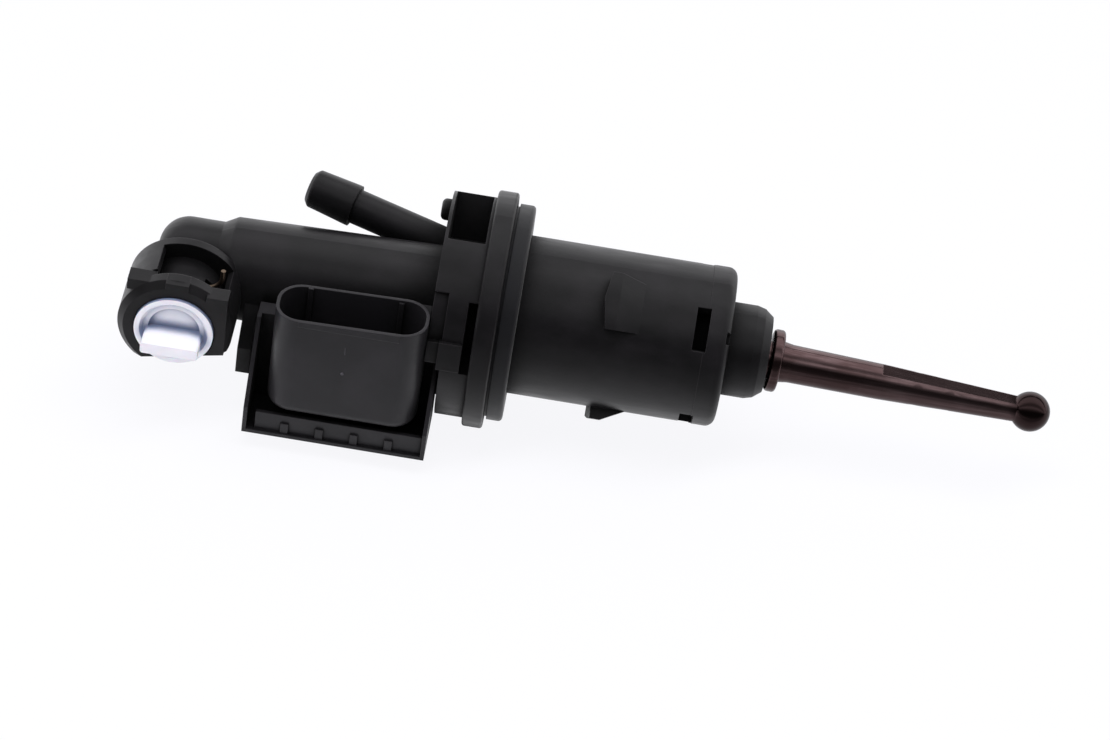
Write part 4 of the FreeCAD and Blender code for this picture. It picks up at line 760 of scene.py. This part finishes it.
def light_world(scene):
    """A surround that is white where it is seen. In mirror images it has a lamp box
    overhead, a pale screen behind and a dim room round the camera."""
    world = bpy.data.worlds.new("surround")
    world.use_nodes = True
    tree = world.node_tree
    tree.nodes.clear()
    light = add_node(tree, "ShaderNodeLightPath")
    way = add_node(tree, "ShaderNodeTexCoord").outputs["Generated"]
    parts = add_node(tree, "ShaderNodeSeparateXYZ", links={0: way})
    front = add_node(
        tree, "ShaderNodeMath", {1: -1.0}, {0: parts.outputs["Y"]}, operation="MULTIPLY",
    )
    angle = add_node(
        tree, "ShaderNodeMath", links={0: parts.outputs["Z"], 1: front.outputs[0]},
        operation="ARCTAN2",
    )
    turned = add_node(
        tree, "ShaderNodeMapRange", {1: -math.pi, 2: math.pi, 3: 0.0, 4: 1.0},
        {0: angle.outputs[0]},
    )
    bands = add_node(tree, "ShaderNodeFloatCurve", links={1: turned.outputs[0]})
    curve = bands.mapping.curves[0]
    for number, (degrees, bright) in enumerate(SURROUND):
        spot = ((degrees + 180) / 360, bright / SURROUND_TOP)
        if number < 2:
            curve.points[number].location = spot
        else:
            curve.points.new(*spot)
    for point in curve.points:
        point.handle_type = "VECTOR"
    bands.mapping.update()
    mirrored = add_node(
        tree, "ShaderNodeMath", {1: SURROUND_TOP}, {0: bands.outputs[0]}, operation="MULTIPLY",
    )
    unseen = add_node(
        tree, "ShaderNodeMix", {2: SURROUND_SHED},
        {0: light.outputs["Is Glossy Ray"], 3: mirrored.outputs[0]}, data_type="FLOAT",
    )
    seen = add_node(
        tree, "ShaderNodeMath",
        links={0: light.outputs["Is Camera Ray"], 1: light.outputs["Is Transmission Ray"]},
        operation="MAXIMUM",
    )
    strength = add_node(
        tree, "ShaderNodeMix", {3: 1.0}, {0: seen.outputs[0], 2: unseen.outputs[0]},
        data_type="FLOAT",
    )
    back = add_node(
        tree, "ShaderNodeBackground", {"Color": (0.98, 0.98, 1.0, 1.0)},
        {"Strength": strength.outputs[0]},
    )
    add_node(tree, "ShaderNodeOutputWorld", links={"Surface": back.outputs[0]})
    scene.world = world


def hang_lamps(scene):
    """Three soft lamps: a long one over the object, one behind and one on the left.
    Mirror images of them are left to the surround."""
    for name, place, size, watts in (
        ("over_lamp", (0.1, -0.12, 1.1), (1.4, 0.35), 13.0),
        ("back_lamp", (0.0, 1.1, 0.8), (0.9, 0.9), 3.0),
        ("left_lamp", (-1.1, -0.4, 0.5), (0.7, 0.7), 4.0),
    ):
        lamp = bpy.data.lights.new(name, "AREA")
        lamp.shape = "RECTANGLE"
        lamp.size, lamp.size_y = size
        lamp.energy = watts
        piece = bpy.data.objects.new(name, lamp)
        aim = Vector((0.02, 0, 0)) - Vector(place)
        turn = aim.to_track_quat("-Z", "Y").to_matrix().to_4x4()
        piece.matrix_world = Matrix.Translation(place) @ turn
        piece.visible_glossy = False
        scene.collection.objects.link(piece)


def set_camera(scene, settings):
    """The camera looks along +Y and down, rolled so that the rod runs down to the right."""
    rise = settings.rise
    ahead = Vector((0, math.cos(rise), -math.sin(rise)))
    up = Vector((0, math.sin(rise), math.cos(rise)))
    right = Vector((1, 0, 0))
    turn = settings.roll
    across = right * math.cos(turn) + up * math.sin(turn)
    upward = up * math.cos(turn) - right * math.sin(turn)
    target = Vector((15.56, -7.86, -9.36)) * MM
    spot = target - ahead * settings.distance
    data = bpy.data.cameras.new("camera")
    data.lens = settings.lens
    data.sensor_width = 36.0
    data.clip_start = 0.01
    data.clip_end = 50.0
    camera = bpy.data.objects.new("camera", data)
    axes = Matrix((across, upward, -ahead)).transposed().to_4x4()
    camera.matrix_world = Matrix.Translation(spot) @ axes
    scene.collection.objects.link(camera)
    scene.camera = camera


class CYLINDER_PT_looks(bpy.types.Panel):
    """Lists what dresses the cylinder"""

    bl_label = "Clutch master cylinder"
    bl_idname = "CYLINDER_PT_looks"
    bl_space_type = "VIEW_3D"
    bl_region_type = "UI"
    bl_category = "Cylinder"

    def draw(self, context):
        for operator in OPERATORS:
            self.layout.operator(operator.bl_idname)
        for group in (context.scene.cylinder_finishes, context.scene.cylinder_stage):
            box = self.layout.box()
            for name in group.__annotations__:
                box.prop(group, name)


OPERATORS = (
    CYLINDER_OT_finish_nylon,
    CYLINDER_OT_finish_sensor,
    CYLINDER_OT_finish_rubber,
    CYLINDER_OT_finish_metals,
    CYLINDER_OT_finish_plug,
    CYLINDER_OT_wind_spring,
    CYLINDER_OT_add_gate_marks,
    CYLINDER_OT_lay_stage,
)
CLASSES = (CylinderFinishes, CylinderStage, *OPERATORS, CYLINDER_PT_looks)


def register():
    for kind in CLASSES:
        bpy.utils.register_class(kind)
    bpy.types.Scene.cylinder_finishes = bpy.props.PointerProperty(type=CylinderFinishes)
    bpy.types.Scene.cylinder_stage = bpy.props.PointerProperty(type=CylinderStage)


def unregister():
    del bpy.types.Scene.cylinder_stage
    del bpy.types.Scene.cylinder_finishes
    for kind in reversed(CLASSES):
        bpy.utils.unregister_class(kind)


def main():
    """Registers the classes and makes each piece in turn."""
    register()
    bpy.ops.cylinder.finish_nylon()
    bpy.ops.cylinder.finish_sensor()
    bpy.ops.cylinder.finish_rubber()
    bpy.ops.cylinder.finish_metals()
    bpy.ops.cylinder.finish_plug()
    bpy.ops.cylinder.wind_spring()
    bpy.ops.cylinder.add_gate_marks()
    bpy.ops.cylinder.lay_stage()


if __name__ == "__main__":
    main()
